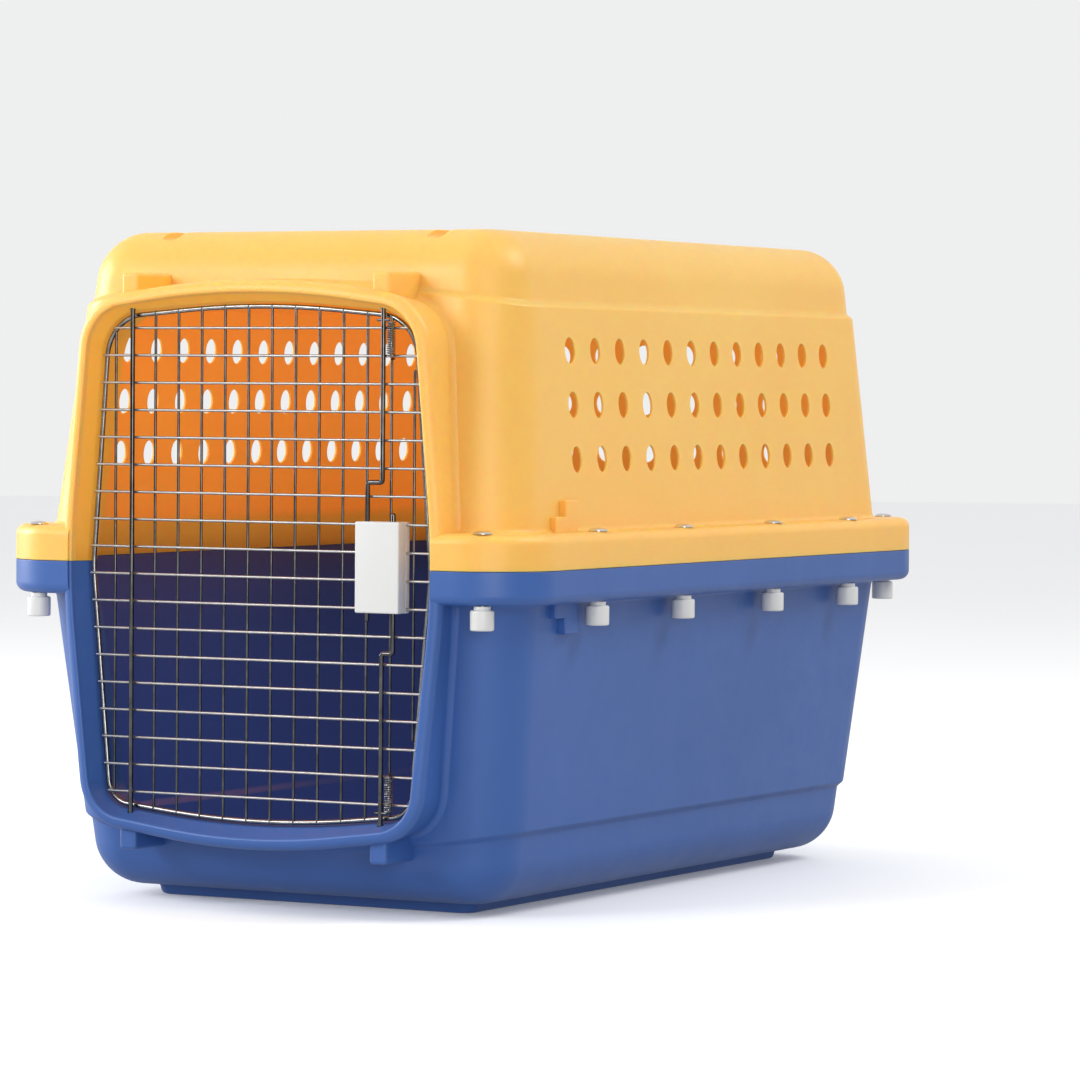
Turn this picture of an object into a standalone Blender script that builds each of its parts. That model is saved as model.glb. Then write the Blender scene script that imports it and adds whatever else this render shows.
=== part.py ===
"""Pet transport carrier: two moulded shells bolted at a wide flange, with a hinged wire door.

The door latches with two sprung rods that shoot up and down into pockets in the shells.
Frame: +X to the right seen from the front, +Y to the rear (the door faces -Y), +Z up, floor at z = 0.
All sizes are in metres.
"""
import math

import bmesh
import bpy
from mathutils import Matrix, Vector

# ---------------------------------------------------------------- driving dimensions
FLANGE_HALF_X = 0.268
FLANGE_HALF_Y = 0.418
HEIGHT = 0.590
SEAM_Z = 0.300
SEAM_GAP = 0.00015          # each shell stops this far from the parting plane
WALL = 0.0025
FIT_GAP = 0.0003            # air left between two pieces that touch

# cabin walls at the parting plane, and how they lean in per metre of height
CABIN_HALF_X = 0.244
CABIN_FRONT = -0.389
CABIN_BACK = 0.383
CORNER_RADIUS = 0.052
CORNER_STEPS = 6
UPPER_LEAN = {"side": 0.084, "front": 0.125, "back": 0.084}
LOWER_LEAN = {"side": 0.100, "front": 0.100, "back": 0.100}

# shoulder lines, where the wall steps in
SHOULDER_INSET = 0.005
UPPER_SHOULDER_Z = 0.526
LOWER_SHOULDER_Z = 0.0728
SHOULDER_HEIGHT = 0.004
UPPER_SHOULDER_ARCH = 0.0180     # how far the upper shoulder rises at the middle of the front
LOWER_SHOULDER_ARCH = -0.0175    # how far the lower shoulder drops there
ROOF_RADIUS = 0.040
FLOOR_RADIUS = 0.038
EDGE_STEPS = 5
ARCH_CUTS = 6               # straight pieces along the front edge, which carries the arch

# base: the floor drops into a flat foot
FOOT_HEIGHT = 0.010
FOOT_INSET = 0.052
FOOT_DRAFT = 0.002

# flange bands above and below the parting plane
UPPER_BAND = 0.031
LOWER_BAND = 0.029
BAND_ROUND = 0.009
BAND_STEPS = 3
FLANGE_CORNER = 0.065

# roof channels
CHANNEL_X = 0.135
CHANNEL_HALF_WIDTH = 0.0085
CHANNEL_DEPTH = 0.008
CHANNEL_HALF_Y = 0.345

# door collar: mouth outline (x, z, corner radius) for its right half, from bottom to top
RIM_Y = -0.416
MOUTH_OUTLINE = ((0.0, 0.0610, 0.65), (0.1598, 0.0818, 0.036), (0.1835, 0.2980, 0.60),
                 (0.1627, 0.5191, 0.040), (0.0, 0.5414, 0.77))
THROAT_Y = -0.3975          # the flared mouth ends here, just in front of the door's perimeter wire
DOOR_CLEARANCE = 0.0015
OUTLINE_STEPS = 4
RIM_WIDTH = 0.011
RIM_ROUND = 0.008
RIM_INNER_ROUND = 0.002
COLLAR_TOE_IN = 0.10

# door
DOOR_Y = -0.397
DOOR_OUTLINE = ((0.0, 0.0740, 0.875), (0.1519, 0.0901, 0.022), (0.1705, 0.2960, 0.140),
                (0.1545, 0.5125, 0.038), (0.0, 0.5260, 0.90))
WIRE_RADIUS = 0.0012
PERIMETER_RADIUS = 0.0021
ROD_RADIUS = 0.0021
WELD_SINK = 0.0004          # how far a horizontal wire sinks into the perimeter wire
WIRE_PITCH = 0.0238
TOP_WIRE_Z = 0.5039
HORIZONTAL_WIRES = 18
FIRST_VERTICAL_X = -0.1061
REGULAR_VERTICALS = 11
EDGE_VERTICALS_X = (-0.1472, 0.1545)
WIRE_TIP = 0.0025           # horizontal wires stand past the perimeter wire
ROD_X = 0.1265
ROD_TOP_Z = 0.5395
ROD_BOTTOM_Z = 0.0600
WIRE_Y = DOOR_Y - 0.0010
VERTICAL_Y = WIRE_Y + 2 * WIRE_RADIUS + FIT_GAP
PERIMETER_Y = WIRE_Y + WIRE_RADIUS + PERIMETER_RADIUS - WELD_SINK
ROD_Y = WIRE_Y - WIRE_RADIUS - FIT_GAP - ROD_RADIUS

# rod pockets: wedge-shaped tabs on the collar
TAB_FRONT_Y = -0.407
TAB_BACK_Y = -0.350
TAB_HALF_FRONT = 0.0085
TAB_HALF_BACK = 0.0080
TAB_TOP_Z = 0.5520
TAB_BOTTOM_Z = 0.0490
TAB_HEIGHT = 0.0390
POCKET_RADIUS = ROD_RADIUS + 0.0008
POCKET_DEPTH_PAST_ROD = 0.0020

# latch
HOUSING_HALF_X = 0.0215
HOUSING_X = 0.1270
HOUSING_Z = (0.2625, 0.3400)
HOUSING_FRONT_Y = -0.4120
HOUSING_BACK_Y = -0.3925
UPPER_CRANK_X = 0.1120
LOWER_CRANK_X = 0.1375
UPPER_CRANK_Z = 0.3731
LOWER_CRANK_Z = 0.2280
UPPER_STUB_Z = 0.2545
LOWER_STUB_Z = 0.3475
BEND_RADIUS = 0.0025
PIN_RADIUS = 0.0011
PIN_LEFT_X = 0.1200
PIN_RIGHT_X = 0.1334
UPPER_PIN_Z = 0.5105
LOWER_PIN_Z = 0.0925
SPRING_X = 0.1352
SPRING_COIL_RADIUS = 0.0034
SPRING_WIRE_RADIUS = 0.0005
SPRING_TURNS = 7
GUIDE_RADIUS = 0.0009
SPRING_Y = WIRE_Y - WIRE_RADIUS - FIT_GAP - SPRING_COIL_RADIUS - SPRING_WIRE_RADIUS

# side vents: rows of ovals on both sides, and fewer columns on the back wall
VENT_ROWS_Z = (0.4865, 0.4397, 0.3926)
VENT_SIZE = (0.0180, 0.0225)
VENT_PITCH = 0.0463
VENT_FIRST_Y = -0.2575
VENT_COLUMNS = 12
BACK_VENT_COLUMNS = 6
VENT_STEPS = 8

# fasteners
BOLT_X = 0.255
BOLT_CORNER_X = 0.224
BOLT_CORNER_Y = 0.4015
BOLT_SIDE_Y = (0.091, 0.254)
BOLT_RADIUS = 0.0030
BOLT_HOLE_RADIUS = 0.0036
HEAD_RADIUS = 0.0085
HEAD_HEIGHT = 0.0030
NUT_RADIUS = 0.0102
NUT_HEIGHT = 0.0205
BOSS_RADIUS = 0.0080

# strap lugs beside the front side bolts
LUG_Y = (-0.3135, -0.2740)
LUG_STEP_Y = -0.2960
LUG_REACH = 0.0027
LUG_TALL = 0.0275
LUG_SHORT = 0.0135

FAR = 1.0                   # bigger than the object, for cutting blocks
SKIN = 0.0006               # material left over the walls where the flange is hollowed
CLEAN_DISTANCE = 0.000002   # points closer than this are one point


# ---------------------------------------------------------------- scene and materials
def clear_scene():
    for old in list(bpy.data.objects):
        bpy.data.objects.remove(old, do_unlink=True)


def make_material(name, colour, roughness, metallic=0.0):
    material = bpy.data.materials.new(name)
    material.use_nodes = True
    shader = material.node_tree.nodes["Principled BSDF"]
    shader.inputs["Base Color"].default_value = (*colour, 1.0)
    shader.inputs["Roughness"].default_value = roughness
    shader.inputs["Metallic"].default_value = metallic
    return material


def make_object(name, bm):
    """Turn a bmesh into a named object with outward faces."""
    bmesh.ops.recalc_face_normals(bm, faces=bm.faces)
    mesh = bpy.data.meshes.new(name)
    bm.to_mesh(mesh)
    bm.free()
    obj = bpy.data.objects.new(name, mesh)
    bpy.context.scene.collection.objects.link(obj)
    return obj


def combine(target, operand, operation):
    """Apply an exact Boolean to the target's mesh and drop the operand."""
    modifier = target.modifiers.new(operation.title(), "BOOLEAN")
    modifier.operation = operation
    modifier.solver = "EXACT"
    modifier.object = operand
    bpy.context.view_layer.update()
    evaluated = target.evaluated_get(bpy.context.evaluated_depsgraph_get())
    mesh = bpy.data.meshes.new_from_object(evaluated)
    target.modifiers.clear()
    target.data = mesh
    bpy.data.objects.remove(operand, do_unlink=True)


def finish(obj, material, smooth_angle=32):
    """Clean the mesh, give it its one material and shade its round faces smooth."""
    bm = bmesh.new()
    bm.from_mesh(obj.data)
    bmesh.ops.remove_doubles(bm, verts=bm.verts, dist=CLEAN_DISTANCE)
    bmesh.ops.dissolve_degenerate(bm, edges=bm.edges, dist=CLEAN_DISTANCE)
    bmesh.ops.triangulate(bm, faces=[face for face in bm.faces if len(face.verts) > 4])
    bm.to_mesh(obj.data)
    bm.free()
    obj.data.materials.clear()
    obj.data.materials.append(material)
    obj.data.shade_smooth()
    obj.data.set_sharp_from_angle(angle=math.radians(smooth_angle))


# ---------------------------------------------------------------- shape helpers
def loft(rings):
    """Closed solid through rings of equal point count, capped at both ends."""
    bm = bmesh.new()
    rows = [[bm.verts.new(point) for point in ring] for ring in rings]
    count = len(rows[0])
    for low, high in zip(rows, rows[1:]):
        for i in range(count):
            j = (i + 1) % count
            bm.faces.new((low[i], low[j], high[j], high[i]))
    bm.faces.new(reversed(rows[0]))
    bm.faces.new(rows[-1])
    return bm


def box(low, high):
    """Axis-aligned box between two corners."""
    return loft([[(low[0], low[1], z), (high[0], low[1], z), (high[0], high[1], z), (low[0], high[1], z)]
                 for z in (low[2], high[2])])


def join_shapes(shapes):
    """One bmesh that holds several separate shapes."""
    whole = bmesh.new()
    for shape in shapes:
        mesh = bpy.data.meshes.new("piece")
        shape.to_mesh(mesh)
        shape.free()
        whole.from_mesh(mesh)
        bpy.data.meshes.remove(mesh)
    return whole


def round_bar(start, end, radius, sides):
    """Straight bar with a polygon section that wraps the wanted radius."""
    start = Vector(start)
    end = Vector(end)
    return tube([start, end], radius, sides)


def tube(path, radius, sides, closed=False):
    """Sweep a polygon along a path in one plane or nearly so."""
    bm = bmesh.new()
    count = len(path)
    rows = []
    side = None
    for i, point in enumerate(path):
        before = path[i - 1] if closed or i else path[0]
        after = path[(i + 1) % count] if closed or i + 1 < count else path[-1]
        along = (Vector(after) - Vector(before)).normalized()
        if side is None:
            side = along.orthogonal().normalized()
        side = (side - along * side.dot(along)).normalized()
        up = along.cross(side)
        row = []
        for k in range(sides):
            angle = math.tau * (k + 0.5) / sides
            row.append(bm.verts.new(Vector(point) + side * math.cos(angle) * radius
                                    + up * math.sin(angle) * radius))
        rows.append(row)
    pairs = list(zip(rows, rows[1:]))
    if closed:
        pairs.append((rows[-1], rows[0]))
    for low, high in pairs:
        for k in range(sides):
            j = (k + 1) % sides
            bm.faces.new((low[k], low[j], high[j], high[k]))
    if not closed:
        bm.faces.new(reversed(rows[0]))
        bm.faces.new(rows[-1])
    return bm


def rounded_path(corners, radius, steps):
    """Open path through corners, each inner corner turned into an arc."""
    path = [Vector(corners[0])]
    for before, corner, after in zip(corners, corners[1:], corners[2:]):
        path.extend(corner_arc(Vector(before), Vector(corner), Vector(after), radius, steps))
    path.append(Vector(corners[-1]))
    return path


def corner_arc(before, corner, after, radius, steps):
    """Points of the arc that rounds one corner of a path."""
    to_before = (before - corner).normalized()
    to_after = (after - corner).normalized()
    half = to_before.angle(to_after) / 2
    reach = radius / math.tan(half)
    centre = corner + (to_before + to_after).normalized() * (radius / math.sin(half))
    start = corner + to_before * reach - centre
    sweep = math.pi - 2 * half
    normal = to_before.cross(start).normalized()
    return [centre + Matrix.Rotation(sweep * k / steps, 3, normal) @ start for k in range(steps + 1)]


def symmetric_outline(half, steps, grow=0.0):
    """Closed (x, z) outline from its right half, bottom to top, with rounded corners."""
    left = [(-x, z, radius) for x, z, radius in reversed(half[1:-1])]
    full = list(half) + left
    points = []
    for i, (x, z, radius) in enumerate(full):
        before = Vector((full[i - 1][0], 0.0, full[i - 1][1]))
        after_item = full[(i + 1) % len(full)]
        after = Vector((after_item[0], 0.0, after_item[1]))
        points.extend(corner_arc(before, Vector((x, 0.0, z)), after, radius, steps))
    return offset_outline([(point.x, point.z) for point in points], grow)


def offset_outline(points, grow):
    """Push every point of a closed outline outwards by the same distance."""
    if grow == 0.0:
        return points
    moved = []
    for i, (x, z) in enumerate(points):
        x0, z0 = points[i - 1]
        x1, z1 = points[(i + 1) % len(points)]
        length = math.hypot(x1 - x0, z1 - z0)
        moved.append((x + (z1 - z0) / length * grow, z - (x1 - x0) / length * grow))
    return moved


def outline_at(points, y):
    return [(x, y, z) for x, z in points]


# ---------------------------------------------------------------- cabin rings
def cabin_ring(z, inset, lean, rise=0.0):
    """Rounded rectangle of the cabin wall at height z, set in by an extra inset."""
    height = abs(z - SEAM_Z)
    half_x = CABIN_HALF_X - lean["side"] * height - inset
    front = CABIN_FRONT + lean["front"] * height + inset
    back = CABIN_BACK - lean["back"] * height - inset
    radius = max(CORNER_RADIUS - inset, 0.012)
    return rounded_rectangle(half_x, front, back, radius, z, rise)


def rounded_rectangle(half_x, front, back, radius, z, rise=0.0):
    """Ring of points, anticlockwise from above. The front may rise to an arch at its middle."""
    centres = ((half_x - radius, front + radius, -90), (half_x - radius, back - radius, 0),
               (radius - half_x, back - radius, 90), (radius - half_x, front + radius, 180))
    ring = []
    for centre_x, centre_y, start in centres:
        for k in range(CORNER_STEPS + 1):
            angle = math.radians(start + 90 * k / CORNER_STEPS)
            x = centre_x + radius * math.cos(angle)
            lift = arch_lift(x, half_x, rise) if centre_y < 0 else 0.0
            ring.append((x, centre_y + radius * math.sin(angle), z + lift))
    flat = half_x - radius
    for k in range(1, ARCH_CUTS):
        x = -flat + 2 * flat * k / ARCH_CUTS
        ring.append((x, front, z + arch_lift(x, half_x, rise)))
    return ring


def arch_lift(x, half_x, rise):
    return rise * (1 - (x / half_x) ** 2)


def upper_cabin(offset, start_z):
    """Solid of the upper cabin, its walls moved in by an offset."""
    top = HEIGHT - offset
    radius = ROOF_RADIUS - offset
    rings = [cabin_ring(start_z, offset, UPPER_LEAN),
             cabin_ring(UPPER_SHOULDER_Z - SHOULDER_HEIGHT / 2, offset, UPPER_LEAN, UPPER_SHOULDER_ARCH),
             cabin_ring(UPPER_SHOULDER_Z + SHOULDER_HEIGHT / 2, offset + SHOULDER_INSET, UPPER_LEAN,
                        UPPER_SHOULDER_ARCH)]
    for k in range(EDGE_STEPS + 1):
        angle = math.radians(90 * k / EDGE_STEPS)
        z = top - radius + radius * math.sin(angle)
        inset = offset + SHOULDER_INSET + radius * (1 - math.cos(angle))
        rings.append(cabin_ring(z, inset, UPPER_LEAN))
    return loft(rings)


def lower_cabin(offset, start_z):
    """Solid of the lower cabin with its foot, its walls moved in by an offset."""
    radius = FLOOR_RADIUS - offset
    floor = FOOT_HEIGHT + offset
    rings = [cabin_ring(start_z, offset, LOWER_LEAN),
             cabin_ring(LOWER_SHOULDER_Z + SHOULDER_HEIGHT / 2, offset, LOWER_LEAN, LOWER_SHOULDER_ARCH),
             cabin_ring(LOWER_SHOULDER_Z - SHOULDER_HEIGHT / 2, offset + SHOULDER_INSET, LOWER_LEAN,
                        LOWER_SHOULDER_ARCH)]
    for k in range(EDGE_STEPS + 1):
        angle = math.radians(90 * k / EDGE_STEPS)
        z = floor + radius * (1 - math.sin(angle))
        inset = offset + SHOULDER_INSET + radius * (1 - math.cos(angle))
        rings.append(cabin_ring(z, inset, LOWER_LEAN))
    rings.append(cabin_ring(floor, offset + FOOT_INSET, LOWER_LEAN))
    rings.append(cabin_ring(offset, offset + FOOT_INSET + FOOT_DRAFT, LOWER_LEAN))
    return loft(rings)


# ---------------------------------------------------------------- flange, collar, tabs, lugs
def flange_solid(direction, band, inset=0.0):
    """Flange band above (direction 1) or below (direction -1) the parting plane, rounded outside."""
    start = SEAM_Z + direction * SEAM_GAP
    end = SEAM_Z + direction * (band - inset)
    radius = BAND_ROUND - inset
    rings = [flange_ring(start, inset)]
    for k in range(BAND_STEPS + 1):
        angle = math.radians(90 * k / BAND_STEPS)
        rings.append(flange_ring(end - direction * radius * (1 - math.sin(angle)),
                                 inset + radius * (1 - math.cos(angle))))
    return rings


def flange_ring(z, inset):
    return rounded_rectangle(FLANGE_HALF_X - inset, inset - FLANGE_HALF_Y, FLANGE_HALF_Y - inset,
                             FLANGE_CORNER - inset, z)


def collar_solid(extra=0.0):
    """Collar round the doorway, from its rounded rim back through the front wall."""
    rings = [outline_at(symmetric_outline(MOUTH_OUTLINE, OUTLINE_STEPS, RIM_WIDTH - RIM_ROUND + extra),
                        RIM_Y - extra)]
    for k in range(1, BAND_STEPS + 1):
        angle = math.radians(90 * k / BAND_STEPS)
        grow = RIM_WIDTH - RIM_ROUND * (1 - math.sin(angle)) + extra
        rings.append(outline_at(symmetric_outline(MOUTH_OUTLINE, OUTLINE_STEPS, grow),
                                RIM_Y - extra + RIM_ROUND * (1 - math.cos(angle))))
    back = TAB_BACK_Y + 0.015
    grow = RIM_WIDTH - COLLAR_TOE_IN * (back - RIM_Y) + extra
    rings.append(outline_at(symmetric_outline(MOUTH_OUTLINE, OUTLINE_STEPS, grow), back))
    return loft([list(reversed(ring)) for ring in rings])


def doorway_cutter():
    """Hole through the collar: flared from the door's plane out to the mouth, straight behind it."""
    throat_grow = PERIMETER_RADIUS + DOOR_CLEARANCE
    rings = [outline_at(symmetric_outline(MOUTH_OUTLINE, OUTLINE_STEPS, RIM_INNER_ROUND), y)
             for y in (RIM_Y - 0.010, RIM_Y - 0.0001)]
    rings.append(outline_at(symmetric_outline(MOUTH_OUTLINE, OUTLINE_STEPS), RIM_Y + RIM_INNER_ROUND))
    rings += [outline_at(symmetric_outline(DOOR_OUTLINE, OUTLINE_STEPS, throat_grow), y)
              for y in (THROAT_Y, TAB_BACK_Y + 0.030)]
    return loft([list(reversed(ring)) for ring in rings])


def pocket_tab(side, low, high):
    """Wedge that widens from its narrow front to the wall."""
    centre = side * ROD_X
    rings = []
    for z in (low, high):
        rings.append([(centre - TAB_HALF_FRONT, TAB_FRONT_Y, z), (centre + TAB_HALF_FRONT, TAB_FRONT_Y, z),
                      (centre + TAB_HALF_BACK, TAB_BACK_Y, z), (centre - TAB_HALF_BACK, TAB_BACK_Y, z)])
    return loft(rings)


def strap_lug(side, direction, band):
    """L-shaped lug that stands on the flange against the side wall."""
    base = SEAM_Z + direction * (band - 0.002)
    inner = side * (CABIN_HALF_X - 0.006)
    outer = side * (CABIN_HALF_X + LUG_REACH)
    low_x, high_x = sorted((inner, outer))
    shapes = []
    for near, far, tall in ((LUG_Y[0], LUG_STEP_Y, LUG_SHORT), (LUG_STEP_Y - 0.0002, LUG_Y[1], LUG_TALL)):
        tip = base + direction * (tall + 0.002)
        shapes.append(box((low_x, near, min(base, tip)), (high_x, far, max(base, tip))))
    return shapes


def bolt_places():
    """Centres of all bolts on the flange."""
    places = [(x * BOLT_CORNER_X, y * BOLT_CORNER_Y) for x in (-1, 1) for y in (-1, 1)]
    places += [(x * BOLT_X, y * along) for x in (-1, 1) for along in BOLT_SIDE_Y for y in (-1, 1)]
    return sorted(places)


def flange_channel(direction, band, cabin_solid):
    """Hollow under the flange's top web, with a boss left standing round each bolt."""
    rings = [flange_ring(SEAM_Z - direction * 0.002, WALL)] + flange_solid(direction, band, WALL)[1:]
    channel = make_object("channel_cutter", loft(rings))
    combine(channel, make_object("cabin", cabin_solid(-SKIN, SEAM_Z - direction * 0.004)), "DIFFERENCE")
    combine(channel, make_object("collar", collar_solid(SKIN)), "DIFFERENCE")
    bosses = [round_bar((x, y, SEAM_Z - FLANGE_HALF_X), (x, y, SEAM_Z + FLANGE_HALF_X), BOSS_RADIUS, 10)
              for x, y in bolt_places()]
    combine(channel, make_object("bosses", join_shapes(bosses)), "DIFFERENCE")
    return channel


def half_space(direction):
    """Block that fills everything on one side of the parting plane."""
    near = SEAM_Z + direction * SEAM_GAP
    far = SEAM_Z + direction * FAR
    return box((-FAR, -FAR, min(near, far)), (FAR, FAR, max(near, far)))


def vent_ovals():
    """Prisms that cut the oval vents in both side walls and the back wall."""
    ovals = []
    for z in VENT_ROWS_Z:
        for column in range(VENT_COLUMNS):
            y = VENT_FIRST_Y + column * VENT_PITCH
            for side in (-1, 1):
                ovals.append(oval((side * 0.200, y, z), (side * 0.270, y, z)))
        for column in range(BACK_VENT_COLUMNS):
            x = (column - (BACK_VENT_COLUMNS - 1) / 2) * VENT_PITCH
            ovals.append(oval((x, 0.330, z), (x, 0.400, z)))
    return join_shapes(ovals)


def oval(start, end):
    """Prism with an oval section, along X or Y."""
    along_x = start[0] != end[0]
    rings = []
    for point in (start, end):
        ring = []
        for k in range(VENT_STEPS):
            angle = math.tau * (k + 0.5) / VENT_STEPS
            across = VENT_SIZE[0] / 2 * math.cos(angle)
            up = VENT_SIZE[1] / 2 * math.sin(angle)
            if along_x:
                ring.append((point[0], point[1] + across, point[2] + up))
            else:
                ring.append((point[0] + across, point[1], point[2] + up))
        rings.append(ring)
    return loft(rings)


def pocket_cutters(direction):
    """Round blind pocket for the hinge rod, and a keeper slot, open to the front, for the latch rod."""
    tip = ROD_TOP_Z if direction > 0 else ROD_BOTTOM_Z
    closed_end = tip + direction * POCKET_DEPTH_PAST_ROD
    open_end = tip - direction * 0.040
    hinge = round_bar((-ROD_X, ROD_Y, open_end), (-ROD_X, ROD_Y, closed_end), POCKET_RADIUS, 12)
    slot = box((ROD_X - POCKET_RADIUS, RIM_Y - 0.02, min(open_end, closed_end)),
               (ROD_X + POCKET_RADIUS, ROD_Y + POCKET_RADIUS, max(open_end, closed_end)))
    return join_shapes([hinge, slot])


def roof_channels(grow):
    """Two long blocks along the roof, grown by a wall to hollow the cavity under them."""
    bottom = HEIGHT - CHANNEL_DEPTH - grow
    half_x = CHANNEL_HALF_WIDTH + grow
    half_y = CHANNEL_HALF_Y + grow
    return join_shapes([box((side * CHANNEL_X - half_x, -half_y, bottom),
                            (side * CHANNEL_X + half_x, half_y, HEIGHT + 0.01))
                        for side in (-1, 1)])


# ---------------------------------------------------------------- shells
def build_shell(name, direction, band, cabin_solid, material):
    """One moulded shell: walls, flange band, its part of the collar, tabs, lugs and all its holes."""
    shell = make_object(name, cabin_solid(0.0, SEAM_Z + direction * SEAM_GAP))
    collar = make_object("collar", collar_solid())
    combine(collar, make_object("half", half_space(direction)), "INTERSECT")
    combine(shell, make_object("flange", loft(flange_solid(direction, band))), "UNION")
    combine(shell, collar, "UNION")
    tab_low = TAB_TOP_Z - TAB_HEIGHT if direction > 0 else TAB_BOTTOM_Z
    for side in (-1, 1):
        combine(shell, make_object("tab", pocket_tab(side, tab_low, tab_low + TAB_HEIGHT)), "UNION")
        for lug in strap_lug(side, direction, band):
            combine(shell, make_object("lug", lug), "UNION")

    cavity = make_object("cavity", cabin_solid(WALL, SEAM_Z - direction * 0.003))
    if direction > 0:
        combine(cavity, make_object("ribs", roof_channels(WALL)), "DIFFERENCE")
    combine(shell, cavity, "DIFFERENCE")
    combine(shell, flange_channel(direction, band, cabin_solid), "DIFFERENCE")
    combine(shell, make_object("doorway", doorway_cutter()), "DIFFERENCE")
    combine(shell, make_object("pockets", pocket_cutters(direction)), "DIFFERENCE")
    holes = [round_bar((x, y, SEAM_Z - 0.05), (x, y, SEAM_Z + 0.05), BOLT_HOLE_RADIUS, 8)
             for x, y in bolt_places()]
    combine(shell, make_object("bolt_holes", join_shapes(holes)), "DIFFERENCE")
    if direction > 0:
        combine(shell, make_object("channels", roof_channels(0.0)), "DIFFERENCE")
        combine(shell, make_object("vents", vent_ovals()), "DIFFERENCE")
    finish(shell, material)


# ---------------------------------------------------------------- fasteners
def build_fasteners(steel, plastic):
    """A dome-head bolt through both bands and a round plastic nut under it, at each place."""
    head_z = SEAM_Z + UPPER_BAND + FIT_GAP
    nut_top = SEAM_Z - LOWER_BAND - FIT_GAP
    for number, (x, y) in enumerate(bolt_places(), start=1):
        rings = []
        for radius, z in ((BOLT_RADIUS, nut_top - NUT_HEIGHT + 0.002), (BOLT_RADIUS, head_z),
                          (HEAD_RADIUS, head_z), (HEAD_RADIUS * 0.88, head_z + HEAD_HEIGHT * 0.55),
                          (HEAD_RADIUS * 0.45, head_z + HEAD_HEIGHT)):
            rings.append(circle(x, y, z, radius, 8))
        bolt = make_object(f"bolt_{number:02d}", loft(rings))
        finish(bolt, steel)
        nut = make_object(f"nut_{number:02d}", loft([circle(x, y, z, NUT_RADIUS, 12)
                                                     for z in (nut_top - NUT_HEIGHT, nut_top)]))
        hole = round_bar((x, y, nut_top - NUT_HEIGHT - 0.01), (x, y, nut_top + 0.01), BOLT_HOLE_RADIUS, 8)
        combine(nut, make_object("nut_hole", hole), "DIFFERENCE")
        finish(nut, plastic)


def circle(x, y, z, radius, sides):
    return [(x + radius * math.cos(math.tau * k / sides), y + radius * math.sin(math.tau * k / sides), z)
            for k in range(sides)]


# ---------------------------------------------------------------- door
def outline_half_width(points, z):
    """Half width of a symmetric outline at a height."""
    best = 0.0
    for (x0, z0), (x1, z1) in zip(points, points[1:] + points[:1]):
        if min(z0, z1) <= z <= max(z0, z1) and z0 != z1:
            best = max(best, x0 + (x1 - x0) * (z - z0) / (z1 - z0))
    return best


def outline_span(points, x):
    """Lowest and highest z of an outline at one x."""
    hits = []
    for (x0, z0), (x1, z1) in zip(points, points[1:] + points[:1]):
        if min(x0, x1) <= x <= max(x0, x1) and x0 != x1:
            hits.append(z0 + (z1 - z0) * (x - x0) / (x1 - x0))
    return min(hits), max(hits)


def square_bar(start, end, half):
    """Bar of square section along X or Z, standing for a thin round wire."""
    low = [min(a, b) - half * (a == b) for a, b in zip(start, end)]
    high = [max(a, b) + half * (a == b) for a, b in zip(start, end)]
    return box(low, high)


def horizontal_wire_heights():
    return [TOP_WIRE_Z - i * WIRE_PITCH for i in range(HORIZONTAL_WIRES)]


def vertical_wire_places():
    return [FIRST_VERTICAL_X + i * WIRE_PITCH for i in range(REGULAR_VERTICALS)] + list(EDGE_VERTICALS_X)


def build_grille(steel):
    """Door grille: perimeter wire with the horizontal wires welded across its front."""
    outline = symmetric_outline(DOOR_OUTLINE, OUTLINE_STEPS)
    grille = make_object("door_grille", tube([Vector((x, PERIMETER_Y, z)) for x, z in outline],
                                             PERIMETER_RADIUS, 6, closed=True))
    rows = []
    for z in horizontal_wire_heights():
        reach = outline_half_width(outline, z) + WIRE_TIP
        rows.append(square_bar((-reach, WIRE_Y, z), (reach, WIRE_Y, z), WIRE_RADIUS))
    combine(grille, make_object("rows", join_shapes(rows)), "UNION")
    finish(grille, steel)


def build_vertical_wires(steel):
    """Vertical wires behind the horizontal ones, each cut to fit inside the perimeter wire."""
    inside = symmetric_outline(DOOR_OUTLINE, OUTLINE_STEPS, -PERIMETER_RADIUS - FIT_GAP)
    for number, x in enumerate(sorted(vertical_wire_places()), start=1):
        spans = [outline_span(inside, x - WIRE_RADIUS), outline_span(inside, x + WIRE_RADIUS)]
        low = max(span[0] for span in spans)
        high = min(span[1] for span in spans)
        wire = make_object(f"vertical_wire_{number:02d}",
                           square_bar((x, VERTICAL_Y, low), (x, VERTICAL_Y, high), WIRE_RADIUS))
        finish(wire, steel)


def build_hinge_rod(steel):
    rod = make_object("hinge_rod", round_bar((-ROD_X, ROD_Y, ROD_BOTTOM_Z), (-ROD_X, ROD_Y, ROD_TOP_Z),
                                             ROD_RADIUS, 10))
    finish(rod, steel)


def build_latch_rod(name, corners, pin_z, steel):
    """Cranked rod with a cross pin that presses on its spring."""
    path = rounded_path([(x, ROD_Y, z) for x, z in corners], BEND_RADIUS, 3)
    rod = make_object(name, tube(path, ROD_RADIUS, 8))
    pin_y = ROD_Y - 0.0002
    pin = round_bar((PIN_LEFT_X, pin_y, pin_z), (PIN_RIGHT_X, pin_y, pin_z), PIN_RADIUS, 6)
    combine(rod, make_object("pin", pin), "UNION")
    finish(rod, steel)


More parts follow.
